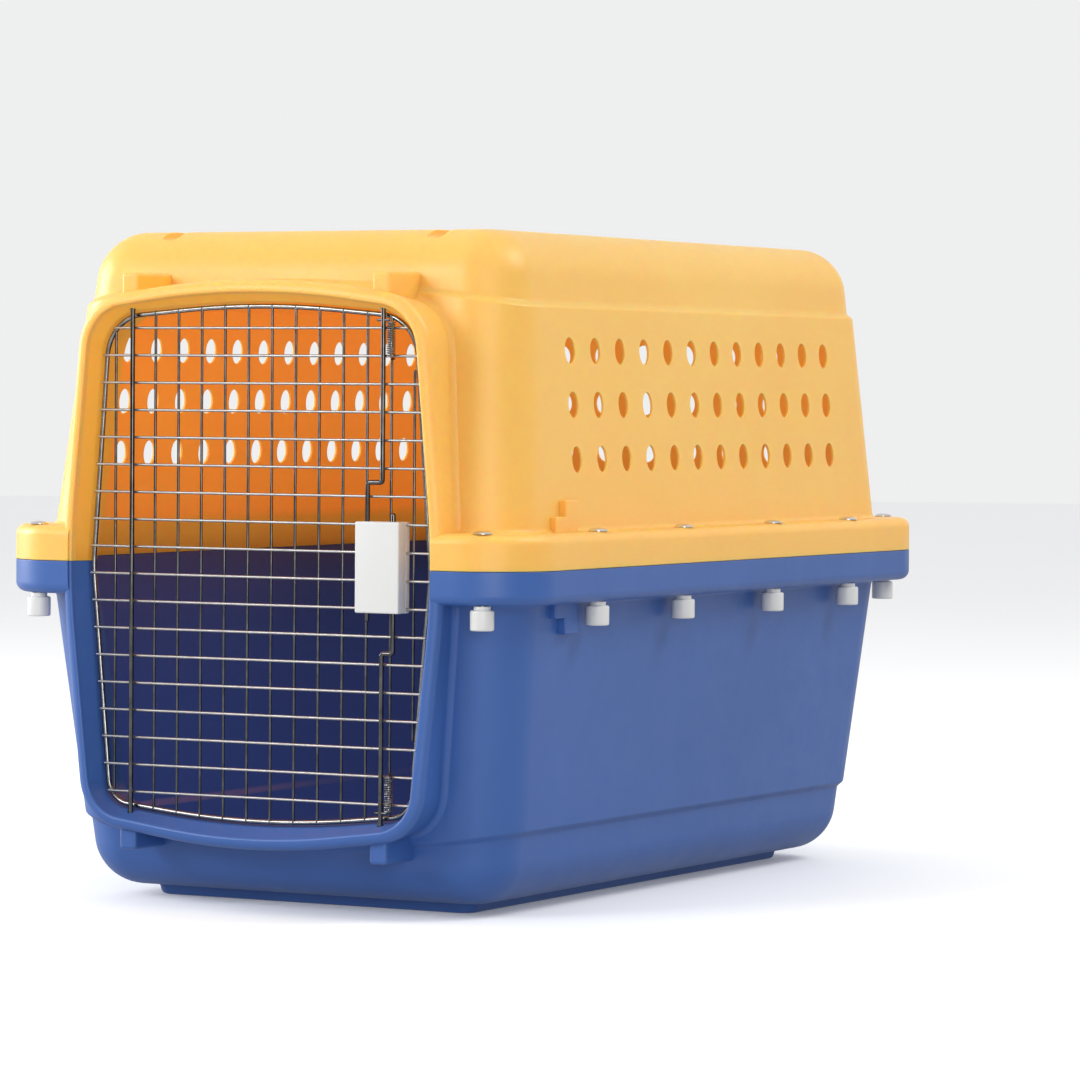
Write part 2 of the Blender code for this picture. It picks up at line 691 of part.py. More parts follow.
def build_spring(name, low, high, steel):
    """Compression spring as an open coil."""
    steps = SPRING_TURNS * 8
    path = []
    for k in range(steps + 1):
        angle = math.tau * SPRING_TURNS * k / steps
        z = low + SPRING_WIRE_RADIUS + (high - low - 2 * SPRING_WIRE_RADIUS) * k / steps
        path.append(Vector((SPRING_X + SPRING_COIL_RADIUS * math.cos(angle),
                            SPRING_Y + SPRING_COIL_RADIUS * math.sin(angle), z)))
    spring = make_object(name, tube(path, SPRING_WIRE_RADIUS, 4))
    finish(spring, steel, 60)


def build_guide(name, free_z, bend_z, steel):
    """Wire inside the spring, bent back at its fixed end under or over a grille wire."""
    corners = [(SPRING_X, SPRING_Y, free_z), (SPRING_X, SPRING_Y, bend_z), (SPRING_X, WIRE_Y + 0.001, bend_z)]
    guide = make_object(name, tube(rounded_path(corners, 0.0015, 3), GUIDE_RADIUS, 6))
    finish(guide, steel)


def build_housing(plastic):
    """Latch housing: a front half with two rod channels and a back half grooved for the grille wires."""
    split_y = WIRE_Y - WIRE_RADIUS - FIT_GAP
    low_x = HOUSING_X - HOUSING_HALF_X
    high_x = HOUSING_X + HOUSING_HALF_X
    front = make_object("latch_housing_front", box((low_x, HOUSING_FRONT_Y, HOUSING_Z[0]),
                                                   (high_x, split_y, HOUSING_Z[1])))
    bevel_front_edges(front, 0.0025)
    clearance = ROD_RADIUS + 0.0004
    for x in (UPPER_CRANK_X, LOWER_CRANK_X):
        channel = box((x - clearance, ROD_Y - clearance, HOUSING_Z[0] - 0.01),
                      (x + clearance, split_y + 0.01, HOUSING_Z[1] + 0.01))
        combine(front, make_object("rod_channel", channel), "DIFFERENCE")
    finish(front, plastic)

    back = make_object("latch_housing_back", box((low_x, split_y + FIT_GAP, HOUSING_Z[0]),
                                                 (high_x, HOUSING_BACK_Y, HOUSING_Z[1])))
    grooves = []
    half = WIRE_RADIUS + FIT_GAP
    for z in horizontal_wire_heights():
        if HOUSING_Z[0] < z < HOUSING_Z[1]:
            grooves.append(box((low_x - 0.01, split_y - 0.01, z - half),
                               (high_x + 0.01, WIRE_Y + half, z + half)))
    for x in vertical_wire_places():
        if low_x < x < high_x:
            grooves.append(box((x - half, split_y - 0.01, HOUSING_Z[0] - 0.01),
                               (x + half, VERTICAL_Y + half, HOUSING_Z[1] + 0.01)))
    for groove in grooves:
        combine(back, make_object("groove", groove), "DIFFERENCE")
    finish(back, plastic)


def bevel_front_edges(obj, width):
    """Round the edges round the face that looks forward."""
    bm = bmesh.new()
    bm.from_mesh(obj.data)
    front_y = min(vert.co.y for vert in bm.verts)
    edges = [edge for edge in bm.edges if any(vert.co.y < front_y + 1e-6 for vert in edge.verts)]
    bmesh.ops.bevel(bm, geom=edges, offset=width, segments=2, profile=0.5, affect="EDGES")
    bm.to_mesh(obj.data)
    bm.free()


def hang(pivot_name, place, names):
    """Parent pieces to an empty on their joint's axis, and leave them where they are."""
    pivot = bpy.data.objects.new(pivot_name, None)
    pivot.location = place
    bpy.context.scene.collection.objects.link(pivot)
    bpy.context.view_layer.update()
    for name in names:
        piece = bpy.data.objects[name]
        piece.parent = pivot
        piece.matrix_parent_inverse = pivot.matrix_world.inverted()
    return pivot


def build_door(steel, plastic):
    build_grille(steel)
    build_vertical_wires(steel)
    build_hinge_rod(steel)
    build_latch_rod("upper_latch_rod", [(ROD_X, ROD_TOP_Z), (ROD_X, UPPER_CRANK_Z),
                                        (UPPER_CRANK_X, UPPER_CRANK_Z), (UPPER_CRANK_X, UPPER_STUB_Z)],
                    UPPER_PIN_Z, steel)
    build_latch_rod("lower_latch_rod", [(ROD_X, ROD_BOTTOM_Z), (ROD_X, LOWER_CRANK_Z),
                                        (LOWER_CRANK_X, LOWER_CRANK_Z), (LOWER_CRANK_X, LOWER_STUB_Z)],
                    LOWER_PIN_Z, steel)
    wires = horizontal_wire_heights()
    under = wires[1] - WIRE_RADIUS - FIT_GAP - GUIDE_RADIUS
    over = wires[-2] + WIRE_RADIUS + FIT_GAP + GUIDE_RADIUS
    gap = GUIDE_RADIUS + FIT_GAP
    build_guide("upper_spring_guide", UPPER_PIN_Z - 0.004, under, steel)
    build_guide("lower_spring_guide", LOWER_PIN_Z + 0.004, over, steel)
    build_spring("upper_spring", under + gap, UPPER_PIN_Z - PIN_RADIUS - FIT_GAP, steel)
    build_spring("lower_spring", LOWER_PIN_Z + PIN_RADIUS + FIT_GAP, over - gap, steel)
    build_housing(plastic)


def hang_door():
    """The door turns on the hinge rod's axis, and each latch rod slides along its own line on the door."""
    rods = ["upper_latch_rod", "lower_latch_rod"]
    fixed = ["door_grille", "hinge_rod", "latch_housing_front", "latch_housing_back", "upper_spring",
             "lower_spring", "upper_spring_guide", "lower_spring_guide"]
    fixed += [f"vertical_wire_{number:02d}" for number in range(1, len(vertical_wire_places()) + 1)]
    hinge = hang("door_hinge_axis", (-ROD_X, ROD_Y, SEAM_Z), fixed)
    for rod, crank in zip(rods, (UPPER_CRANK_Z, LOWER_CRANK_Z)):
        slide = hang(rod + "_axis", (ROD_X, ROD_Y, crank), [rod])
        slide.parent = hinge
        slide.matrix_parent_inverse = hinge.matrix_world.inverted()


def main():
    clear_scene()
    yellow = make_material("yellow_plastic", (0.94, 0.58, 0.13), 0.45)
    blue = make_material("blue_plastic", (0.06, 0.16, 0.42), 0.45)
    white = make_material("white_plastic", (0.88, 0.88, 0.86), 0.4)
    chrome = make_material("chromed_wire", (0.75, 0.75, 0.76), 0.2, 1.0)
    steel = make_material("bolt_steel", (0.62, 0.62, 0.60), 0.3, 1.0)
    build_shell("upper_shell", 1, UPPER_BAND, upper_cabin, yellow)
    build_shell("lower_shell", -1, LOWER_BAND, lower_cabin, blue)
    build_fasteners(steel, white)
    build_door(chrome, white)
    hang_door()


main()
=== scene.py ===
"""Looks of the pet transport carrier: moulded shells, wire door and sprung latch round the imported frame.

Axes are the frame's own: +X to the right seen from the front, +Y to the rear, +Z up, floor at z = 0.
All sizes are in metres.
"""
import math

import bmesh
import bpy
from mathutils import Matrix, Vector


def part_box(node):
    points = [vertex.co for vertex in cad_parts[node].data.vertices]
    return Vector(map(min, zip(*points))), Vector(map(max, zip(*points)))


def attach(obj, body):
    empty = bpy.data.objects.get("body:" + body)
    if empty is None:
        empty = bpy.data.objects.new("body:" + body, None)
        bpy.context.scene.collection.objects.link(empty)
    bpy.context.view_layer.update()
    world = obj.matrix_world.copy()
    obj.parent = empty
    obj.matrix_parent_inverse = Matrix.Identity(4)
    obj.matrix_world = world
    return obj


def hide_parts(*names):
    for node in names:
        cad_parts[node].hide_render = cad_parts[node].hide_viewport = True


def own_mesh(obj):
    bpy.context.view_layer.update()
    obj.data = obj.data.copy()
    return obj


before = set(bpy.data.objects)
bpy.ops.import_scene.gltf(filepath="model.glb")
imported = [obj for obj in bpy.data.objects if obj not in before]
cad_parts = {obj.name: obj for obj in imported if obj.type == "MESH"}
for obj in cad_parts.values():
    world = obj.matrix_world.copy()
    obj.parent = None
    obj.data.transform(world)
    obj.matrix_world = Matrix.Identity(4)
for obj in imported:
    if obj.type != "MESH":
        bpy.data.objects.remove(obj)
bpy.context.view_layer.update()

# ---------------------------------------------------------------- sizes read from the frame
UPPER_LOW, UPPER_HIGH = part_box("upper_shell")
LOWER_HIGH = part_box("lower_shell")[1]
HEIGHT = UPPER_HIGH.z
FLANGE_HALF_X = UPPER_HIGH.x
FLANGE_HALF_Y = UPPER_HIGH.y
SEAM_Z = (UPPER_LOW.z + LOWER_HIGH.z) / 2
SEAM_GAP = (UPPER_LOW.z - LOWER_HIGH.z) / 2
HINGE_LOW, HINGE_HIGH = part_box("hinge_rod")
ROD_X = -(HINGE_LOW.x + HINGE_HIGH.x) / 2
ROD_Y = (HINGE_LOW.y + HINGE_HIGH.y) / 2

# ---------------------------------------------------------------- shell shape
WALL = 0.0025
CAVITY_PAST = 0.003         # how far the cavity cutter goes past the parting plane
CABIN_HALF_X = 0.244
CABIN_FRONT = -0.389
CABIN_BACK = 0.383
CORNER_RADIUS = 0.052
SMALLEST_CORNER = 0.012
CORNER_STEPS = 18
LEAN = {1: {"side": 0.084, "front": 0.125, "back": 0.084},
        -1: {"side": 0.100, "front": 0.100, "back": 0.100}}
SHOULDER_INSET = 0.005
SHOULDER_Z = {1: 0.526, -1: 0.0728}
SHOULDER_ARCH = {1: 0.0180, -1: -0.0175}
SHOULDER_HEIGHT = 0.0070
SHOULDER_STEPS = 8
EDGE_RADIUS = {1: 0.040, -1: 0.038}
EDGE_STEPS = 14
ARCH_CUTS = 24
FOOT_HEIGHT = 0.010
FOOT_INSET = 0.052
FOOT_ROUND = 0.003
FOOT_STEP = 0.001

BAND = {1: 0.031, -1: 0.029}
BAND_ROUND = 0.009
BAND_STEPS = 8
SEAM_ROUND = 0.0007
FLANGE_CORNER = 0.065
FLANGE_FILLET = 0.0045
FILLET_STEPS = 7
FILLET_START = 12           # degrees; a fillet starts this far along its arc, just under the other surface
FILLET_SINK = 0.05          # of its radius

CHANNEL_X = 0.135
CHANNEL_HALF_WIDTH = 0.0085
CHANNEL_DEPTH = 0.008
CHANNEL_HALF_Y = 0.345
CHANNEL_ROUND = 0.004
CHANNEL_TOP_ROUND = 0.001
CHANNEL_END_ROUND = 0.002

# ---------------------------------------------------------------- doorway: (x, z, corner radius), right half
RIM_Y = 0.002 - FLANGE_HALF_Y
MOUTH_OUTLINE = ((0.0, 0.0610, 0.65), (0.1598, 0.0818, 0.036), (0.1835, 0.2980, 0.60),
                 (0.1627, 0.5191, 0.040), (0.0, 0.5414, 0.77))
DOOR_OUTLINE = ((0.0, 0.0740, 0.875), (0.1519, 0.0901, 0.022), (0.1705, 0.2960, 0.140),
                (0.1545, 0.5125, 0.038), (0.0, 0.5260, 0.90))
OUTLINE_STEPS = 16
THROAT_Y = -0.3975
THROAT_GROW = 0.0036
# the upper throat gets the painted shade of the inside material from this far behind the lip
THROAT_SHADE_START = 0.0045
THROAT_FACING = -0.3        # faces that look this much towards the doorway belong to the throat
INSIDE_MARGIN = 0.6         # of the wall; faces this deep belong to the cavity
RIM_WIDTH = 0.011
RIM_ROUND = 0.008
RIM_INNER_ROUND = 0.0028
RIM_STEPS = 8
FLARE_STEPS = 6
COLLAR_TOE_IN = 0.12
COLLAR_FILLET = 0.0075
COLLAR_BACK_Y = -0.335
COLLAR_ROOT = 0.002         # how far the fillet goes on into the wall
MOUTH_PAST = 0.010          # how far a cutter stands out of the surface that it opens
THROAT_PAST = 0.015         # how far the doorway cutter goes on behind the collar
OUTWARD_STEP = 0.01         # only gives the direction in which the collar's flank spreads

TAB_FRONT_Y = -0.407
TAB_BACK_Y = -0.345
TAB_HALF_FRONT = 0.0086
TAB_HALF_BACK = 0.0080
TAB_Z = {1: (0.5130, 0.5520), -1: (0.0490, 0.0880)}
TAB_ROUND = 0.0034
TAB_BACK_ROUND = 0.001
TAB_EDGE = 0.0004
POCKET_RADIUS = 0.0029
POCKET_LENGTH = 0.040
POCKET_SIDES = 36
POCKET_END_GAP = 0.002

LUG_Y = (-0.3135, -0.2740)
LUG_STEP_Y = -0.2960
LUG_REACH = 0.0027
LUG_TALL = 0.0275
LUG_SHORT = 0.0135
LUG_ROUND = 0.0016
LUG_SINK = 0.002            # into the flange, so that the two surfaces cross
LUG_INWARD = 0.006
LUG_OVERLAP = 0.003

VENT_ROWS_Z = (0.4865, 0.4397, 0.3926)
VENT_SIZE = (0.0180, 0.0225)
VENT_PITCH = 0.0463
VENT_FIRST_Y = -0.2575
VENT_COLUMNS = 12
BACK_VENT_COLUMNS = 6
VENT_SIDES = 32
VENT_ROUND = 0.0007
VENT_PAST = 3 * VENT_ROUND

# ---------------------------------------------------------------- door, latch and fasteners
WIRE_RADIUS = 0.0012
PERIMETER_RADIUS = 0.0021
ROD_RADIUS = 0.0021
WIRE_SIDES = 16
ROD_SIDES = 20
DOME_ARC = (4, 0, 72)       # steps, first and last angle of the rounding at a wire's end
DOME_TIP = 0.15
WIRE_PITCH = 0.0238
TOP_WIRE_Z = 0.5039
HORIZONTAL_WIRES = 18
WIRE_TIP = 0.0025
WIRE_Y = -0.398
PERIMETER_Y = -0.3951
WELD_OVERLAP = 0.0006
BEAD_RADIUS = 0.0015
BEAD_STRETCH = (1.05, 0.9, 1.15)
CRANK_X = {1: 0.1120, -1: 0.1375}
CRANK_Z = {1: 0.3731, -1: 0.2280}
STUB_Z = {1: 0.2545, -1: 0.3475}
BEND_RADIUS = 0.0025
BEND_STEPS = 6
PIN_RADIUS = 0.0011
PIN_FORWARD = 0.0002
PIN_X = (0.1200, 0.1334)
PIN_Z = {1: 0.5105, -1: 0.0925}
COIL_WIRE_RADIUS = 0.00055
COIL_SIDES = 8
COIL_TURNS = 17
COIL_TURN_STEPS = 20
COIL_FLAT_TURN = 0.9
COIL_FLAT_CLIMB = 0.04
GUIDE_RADIUS = 0.0009
GUIDE_SIDES = 14
GUIDE_BEND = 0.0015
HOUSING_ROUND = 0.0014
HOUSING_BACK_ROUND = 0.001
HOUSING_JOINT_ROUND = 0.0003
BOLT_GAP = 0.0001
BOLT_SHANK = 0.35           # of the head's radius, as the next two
BOLT_DOME = 0.93
BOLT_WASHER = ((0.97, 0.0), (1.0, 0.10), (1.0, 0.24), (0.95, 0.34))     # radius and height as shares
BOLT_DOME_BASE = 0.30       # of the head's height
NUT_NECK_HEIGHT = 0.0032
NUT_NECK_RADIUS = 0.0072
NUT_RECESS = ((0.30, 0.004), (0.42, 0.004), (0.46, 0.0006))     # share of the radius, depth
NUT_ROUND = 0.0016
LATHE_SIDES = 40

PLASTIC_IOR = 1.49
GLOW_DEPTH = 0.006
WAVE_DEPTH = 0.001
GRAIN_DEPTH = 0.00006
PLATING_DEPTH = 0.00002
SMOOTH_ANGLE = 32           # degrees
CLEAN_DISTANCE = 0.000003
SMALLEST_RADIUS = 0.0002

# ---------------------------------------------------------------- camera and studio
CAMERA_PLACE = (2.21016, -3.94015, 0.450192)
CAMERA_YAW = 0.499629
CAMERA_PITCH = -0.0304015
CAMERA_ROLL = 0.0072193
CAMERA_LENS = 161.666
SENSOR = 36.0
FLOOR_RADIUS = 16.0
FLOOR_DROP = 0.0004         # keeps the floor clear of the underside of the foot
ROOM_COLOUR = (0.98, 0.985, 1.0, 1.0)
ROOM_DARK = 0.12
ROOM_WHITE = 0.92
ROOM_CEILING = 0.80
BACKDROP_EDGES = (-0.25, 0.60)
CEILING_EDGES = (0.12, 0.75)
FLOOR_BOUNCE = 0.45
FLOOR_GLOW = 0.14
BACKGROUND_COLOUR = (0.862, 0.865, 0.868, 1.0)
LIGHT_TARGET = Vector((0.0, 0.0, 0.3))
SOFTBOXES = (("front_softbox", (-1.5, -3.1, 1.7), 1.4, 52),             # name, place, size, watts
             ("left_softbox", (-3.6, -0.6, 1.2), 1.6, 95),
             ("fill_softbox", (3.5, -5.0, 1.1), 2.6, 112),
             ("side_softbox", (2.5, 0.9, 3.0), 1.4, 50))


# ---------------------------------------------------------------- materials
def new_material(name):
    material = bpy.data.materials.new(name)
    material.use_nodes = True
    return material, material.node_tree.nodes, material.node_tree.links


def object_noise(nodes, links, scale, detail, roughness):
    """Noise in the object's own metres."""
    place = nodes.new("ShaderNodeTexCoord")
    noise = nodes.new("ShaderNodeTexNoise")
    noise.inputs["Scale"].default_value = scale
    noise.inputs["Detail"].default_value = detail
    noise.inputs["Roughness"].default_value = roughness
    links.new(place.outputs["Object"], noise.inputs["Vector"])
    return noise.outputs["Fac"]


def ramp(nodes, links, value, stops):
    """Colour ramp over a value: stops are (position, grey or colour)."""
    node = nodes.new("ShaderNodeValToRGB")
    elements = node.color_ramp.elements
    while len(elements) < len(stops):
        elements.new(0.5)
    for element, (position, colour) in zip(elements, stops):
        element.position = position
        element.color = (*colour, 1.0) if isinstance(colour, tuple) else (colour, colour, colour, 1.0)
    links.new(value, node.inputs["Fac"])
    return node.outputs["Color"]


def bump(nodes, links, height, distance, strength=1.0, below=None):
    node = nodes.new("ShaderNodeBump")
    node.inputs["Distance"].default_value = distance
    node.inputs["Strength"].default_value = strength
    links.new(height, node.inputs["Height"])
    if below is not None:
        links.new(below, node.inputs["Normal"])
    return node.outputs["Normal"]


def moulded_plastic(name, dark, light, roughness=(0.36, 0.46), glow=0.0, glow_radius=None, through=None):
    """Injection-moulded plastic: fine grain, slow waviness of the wall, cloudy colour and worn patches.

    through is a painted glow: emission that stands in for the light that the thin wall lets in from outside,
    given as its colour, then its strength at heights that run away from the seam.
    """
    material, nodes, links = new_material(name)
    shader = nodes["Principled BSDF"]
    cloud = object_noise(nodes, links, 5.0, 4.0, 0.55)
    links.new(ramp(nodes, links, cloud, ((0.32, dark), (0.68, light))), shader.inputs["Base Color"])

    patches = object_noise(nodes, links, 38.0, 5.0, 0.65)
    rough = ramp(nodes, links, patches, ((0.30, roughness[0]), (0.72, roughness[1])))
    links.new(rough, shader.inputs["Roughness"])

    waves = bump(nodes, links, object_noise(nodes, links, 14.0, 2.0, 0.4), WAVE_DEPTH, 0.35)
    pores = bump(nodes, links, object_noise(nodes, links, 950.0, 3.0, 0.6), GRAIN_DEPTH, 1.0, waves)
    links.new(pores, shader.inputs["Normal"])
    shader.inputs["IOR"].default_value = PLASTIC_IOR
    if glow:
        shader.inputs["Subsurface Weight"].default_value = glow
        shader.inputs["Subsurface Radius"].default_value = glow_radius
        shader.inputs["Subsurface Scale"].default_value = GLOW_DEPTH
    # Painted glow: emission whose strength follows the height, in place of light let in through the wall.
    if through:
        colour, stops = through
        parts = nodes.new("ShaderNodeSeparateXYZ")
        links.new(nodes.new("ShaderNodeTexCoord").outputs["Object"], parts.inputs["Vector"])
        height = nodes.new("ShaderNodeMapRange")
        height.inputs["From Min"].default_value = SEAM_Z
        height.inputs["From Max"].default_value = stops[-1][0]
        links.new(parts.outputs["Z"], height.inputs["Value"])
        span = stops[-1][0] - SEAM_Z
        levels = tuple(((z - SEAM_Z) / span, level) for z, level in stops)
        links.new(ramp(nodes, links, height.outputs["Result"], levels), shader.inputs["Emission Strength"])
        shader.inputs["Emission Color"].default_value = (*colour, 1.0)
    return material


def wire_metal(name, dark, light, roughness=(0.12, 0.24)):
    """Plated wire: drawn along its length, slightly uneven plating."""
    material, nodes, links = new_material(name)
    shader = nodes["Principled BSDF"]
    shader.inputs["Metallic"].default_value = 1.0
    cloud = object_noise(nodes, links, 90.0, 4.0, 0.6)
    links.new(ramp(nodes, links, cloud, ((0.30, dark), (0.72, light))), shader.inputs["Base Color"])
    spots = object_noise(nodes, links, 420.0, 4.0, 0.6)
    links.new(ramp(nodes, links, spots, ((0.32, roughness[0]), (0.75, roughness[1]))),
              shader.inputs["Roughness"])
    links.new(bump(nodes, links, spots, PLATING_DEPTH, 0.3), shader.inputs["Normal"])
    return material


def studio_floor():
    material, nodes, links = new_material("pale_floor")
    shader = nodes["Principled BSDF"]
    cloud = object_noise(nodes, links, 1.5, 3.0, 0.5)
    pale = ramp(nodes, links, cloud, ((0.3, (0.92, 0.92, 0.92)), (0.7, (0.94, 0.94, 0.94))))
    tone = nodes.new("ShaderNodeMix")
    tone.data_type = "RGBA"
    links.new(nodes.new("ShaderNodeLightPath").outputs["Is Camera Ray"], tone.inputs["Factor"])
    tone.inputs["A"].default_value = (FLOOR_BOUNCE, FLOOR_BOUNCE, FLOOR_BOUNCE, 1.0)
    links.new(pale, tone.inputs["B"])
    links.new(tone.outputs["Result"], shader.inputs["Base Color"])
    shader.inputs["Roughness"].default_value = 0.75
    shader.inputs["Specular IOR Level"].default_value = 0.2
    shader.inputs["Emission Color"].default_value = (1.0, 1.0, 1.0, 1.0)
    shader.inputs["Emission Strength"].default_value = FLOOR_GLOW
    return material


# ---------------------------------------------------------------- mesh helpers
def make_object(name, bm):
    bmesh.ops.recalc_face_normals(bm, faces=bm.faces)
    mesh = bpy.data.meshes.new(name)
    bm.to_mesh(mesh)
    bm.free()
    obj = bpy.data.objects.new(name, mesh)
    bpy.context.scene.collection.objects.link(obj)
    return obj


def clean_mesh(mesh):
    """Merge points that coincide and split large faces, so that the next Boolean meets a sound mesh."""
    bm = bmesh.new()
    bm.from_mesh(mesh)
    bmesh.ops.remove_doubles(bm, verts=bm.verts, dist=CLEAN_DISTANCE)
    bmesh.ops.dissolve_degenerate(bm, edges=bm.edges, dist=CLEAN_DISTANCE)
    bmesh.ops.triangulate(bm, faces=[face for face in bm.faces if len(face.verts) > 4])
    bm.to_mesh(mesh)
    bm.free()


def combine(target, operand, operation):
    """Apply an exact Boolean to the target's mesh and drop the operand."""
    modifier = target.modifiers.new(operation.title(), "BOOLEAN")
    modifier.operation = operation
    modifier.solver = "EXACT"
    modifier.object = operand
    bpy.context.view_layer.update()
    evaluated = target.evaluated_get(bpy.context.evaluated_depsgraph_get())
    mesh = bpy.data.meshes.new_from_object(evaluated)
    target.modifiers.clear()
    clean_mesh(mesh)
    target.data = mesh
    bpy.data.objects.remove(operand, do_unlink=True)


def settle(obj, materials, body, nodes):
    """Shade a piece, give it its materials and hang it on its body in place of its CAD nodes."""
    for material in materials:
        obj.data.materials.append(material)
    obj.data.shade_smooth()
    obj.data.set_sharp_from_angle(angle=math.radians(SMOOTH_ANGLE))
    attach(obj, body)
    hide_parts(*nodes)


def loft(rings):
    """Closed solid through rings of equal point count, capped at both ends."""
    bm = bmesh.new()
    rows = [[bm.verts.new(point) for point in ring] for ring in rings]
    count = len(rows[0])
    for low, high in zip(rows, rows[1:]):
        for i in range(count):
            j = (i + 1) % count
            bm.faces.new((low[i], low[j], high[j], high[i]))
    bm.faces.new(reversed(rows[0]))
    bm.faces.new(rows[-1])
    return bm


def join_shapes(shapes):
    whole = bmesh.new()
    for shape in shapes:
        mesh = bpy.data.meshes.new("piece")
        shape.to_mesh(mesh)
        shape.free()
        whole.from_mesh(mesh)
        bpy.data.meshes.remove(mesh)
    return whole


def box(low, high):
    return loft([[(low[0], low[1], z), (high[0], low[1], z), (high[0], high[1], z), (low[0], high[1], z)]
                 for z in (low[2], high[2])])


def arc(steps, start=0.0, end=90.0):
    """(sine, cosine) pairs along an arc given in degrees."""
    angles = [math.radians(start + (end - start) * k / steps) for k in range(steps + 1)]
    return [(math.sin(angle), math.cos(angle)) for angle in angles]


def lathe(profile, centre):
    """Solid of revolution about a vertical line: profile is (radius, z), capped at both ends."""
    rings = []
    for radius, z in profile:
        ring = []
        for k in range(LATHE_SIDES):
            angle = math.tau * k / LATHE_SIDES
            ring.append((centre[0] + radius * math.cos(angle), centre[1] + radius * math.sin(angle), z))
        rings.append(ring)
    return loft(rings)


def tube(path, radius, sides=WIRE_SIDES, closed=False, round_ends=True):
    """Sweep a round section along a path; open ends are domed."""
    points = [Vector(point) for point in path]
    count = len(points)
    sections = []
    side = None
    for i, point in enumerate(points):
        before = points[i - 1] if closed or i else points[0]
        after = points[(i + 1) % count] if closed or i + 1 < count else points[-1]
        along = (after - before).normalized()
        if side is None:
            side = along.orthogonal().normalized()
        side = (side - along * side.dot(along)).normalized()
        sections.append((point, side.copy(), along.cross(side), along, 1.0))
    if not closed and round_ends:
        point, first_side, first_up, along, _ = sections[0]
        dome = [(point + along * radius * (1 - cosine), first_side, first_up, along, max(sine, DOME_TIP))
                for sine, cosine in arc(*DOME_ARC)]
        point, last_side, last_up, along, _ = sections[-1]
        cap = [(point - along * radius * (1 - cosine), last_side, last_up, along, max(sine, DOME_TIP))
               for sine, cosine in reversed(arc(*DOME_ARC))]
        sections = dome + trimmed(sections, radius) + cap
    bm = bmesh.new()
    rows = []
    for point, across, up, _, scale in sections:
        row = []
        for k in range(sides):
            angle = math.tau * (k + 0.5) / sides
            offset = (across * math.cos(angle) + up * math.sin(angle)) * radius * scale
            row.append(bm.verts.new(point + offset))
        rows.append(row)
    pairs = list(zip(rows, rows[1:]))
    if closed:
        pairs.append((rows[-1], rows[0]))
    for low, high in pairs:
        for k in range(sides):
            j = (k + 1) % sides
            bm.faces.new((low[k], low[j], high[j], high[k]))
    if not closed:
        bm.faces.new(reversed(rows[0]))
        bm.faces.new(rows[-1])
    return bm


def trimmed(sections, reach):
    """Sections of an open tube with its first and last moved in to leave room for the domes."""
    first, last = sections[0], sections[-1]
    start = (first[0] + first[3] * reach, *first[1:])
    end = (last[0] - last[3] * reach, *last[1:])
    inner = [section for section in sections[1:-1]
             if (section[0] - first[0]).length > reach and (section[0] - last[0]).length > reach]
    return [start, *inner, end]


def corner_arc(before, corner, after, radius, steps):
    """Points of the arc that rounds one corner of a path."""
    to_before = (before - corner).normalized()
    to_after = (after - corner).normalized()
    half = to_before.angle(to_after) / 2
    reach = radius / math.tan(half)
    centre = corner + (to_before + to_after).normalized() * (radius / math.sin(half))
    start = corner + to_before * reach - centre
    sweep = math.pi - 2 * half
    normal = to_before.cross(start).normalized()
    return [centre + Matrix.Rotation(sweep * k / steps, 3, normal) @ start for k in range(steps + 1)]


def rounded_path(corners, radius):
    """Open path with every inner corner rounded."""
    path = [Vector(corners[0])]
    for before, corner, after in zip(corners, corners[1:], corners[2:]):
        path.extend(corner_arc(Vector(before), Vector(corner), Vector(after), radius, BEND_STEPS))
    path.append(Vector(corners[-1]))
    return path


def rounded_polygon(corners, steps, grow=0.0):
    """Closed outline of (u, v) from corners (u, v, radius), pushed out by a distance."""
    points = []
    for i, (u, v, radius) in enumerate(corners):
        after = corners[(i + 1) % len(corners)]
        rounded = corner_arc(Vector((*corners[i - 1][:2], 0.0)), Vector((u, v, 0.0)),
                             Vector((*after[:2], 0.0)), radius, steps)
        points.extend((point.x, point.y) for point in rounded)
    return offset_outline(points, grow)


def symmetric_outline(half, grow=0.0):
    """Closed (x, z) outline from its right half, bottom to top."""
    left = [(-x, z, radius) for x, z, radius in reversed(half[1:-1])]
    return rounded_polygon(list(half) + left, OUTLINE_STEPS, grow)


def offset_outline(points, grow):
    """Push every point of an anticlockwise outline outwards by the same distance."""
    if grow == 0.0:
        return points
    moved = []
    for i, (u, v) in enumerate(points):
        u0, v0 = points[i - 1]
        u1, v1 = points[(i + 1) % len(points)]
        length = math.hypot(u1 - u0, v1 - v0)
        moved.append((u + (v1 - v0) / length * grow, v - (u1 - u0) / length * grow))
    return moved


def soft_prism(corners, low, high, edge_low, edge_high, place, steps=5):
    """Prism over a rounded outline with rounded end edges; place turns (u, v, w) into a point."""
    rings = []
    for sine, cosine in arc(steps):
        rings.append((edge_low * (1 - sine), low + edge_low * (1 - cosine)))
    for sine, cosine in reversed(arc(steps)):
        rings.append((edge_high * (1 - sine), high - edge_high * (1 - cosine)))
    return loft([[place(u, v, w) for u, v in rounded_polygon(inset_corners(corners, inset), steps)]
                 for inset, w in rings])


def inset_corners(corners, inset):
    """Move the sides of an anticlockwise outline inwards; each corner's radius shrinks by as much."""
    moved = []
    for i, (u, v, radius) in enumerate(corners):
        corner = Vector((u, v))
        into = (corner - Vector(corners[i - 1][:2])).normalized()
        away = (Vector(corners[(i + 1) % len(corners)][:2]) - corner).normalized()
        normals = Vector((-into.y, into.x)), Vector((-away.y, away.x))
        corner += (normals[0] + normals[1]) / (1 + normals[0].dot(normals[1])) * inset
        moved.append((corner.x, corner.y, max(radius - inset, SMALLEST_RADIUS)))
    return moved


# ---------------------------------------------------------------- cabin walls
def arch_lift(x, half_x, rise):
    return rise * (1 - (x / half_x) ** 2)


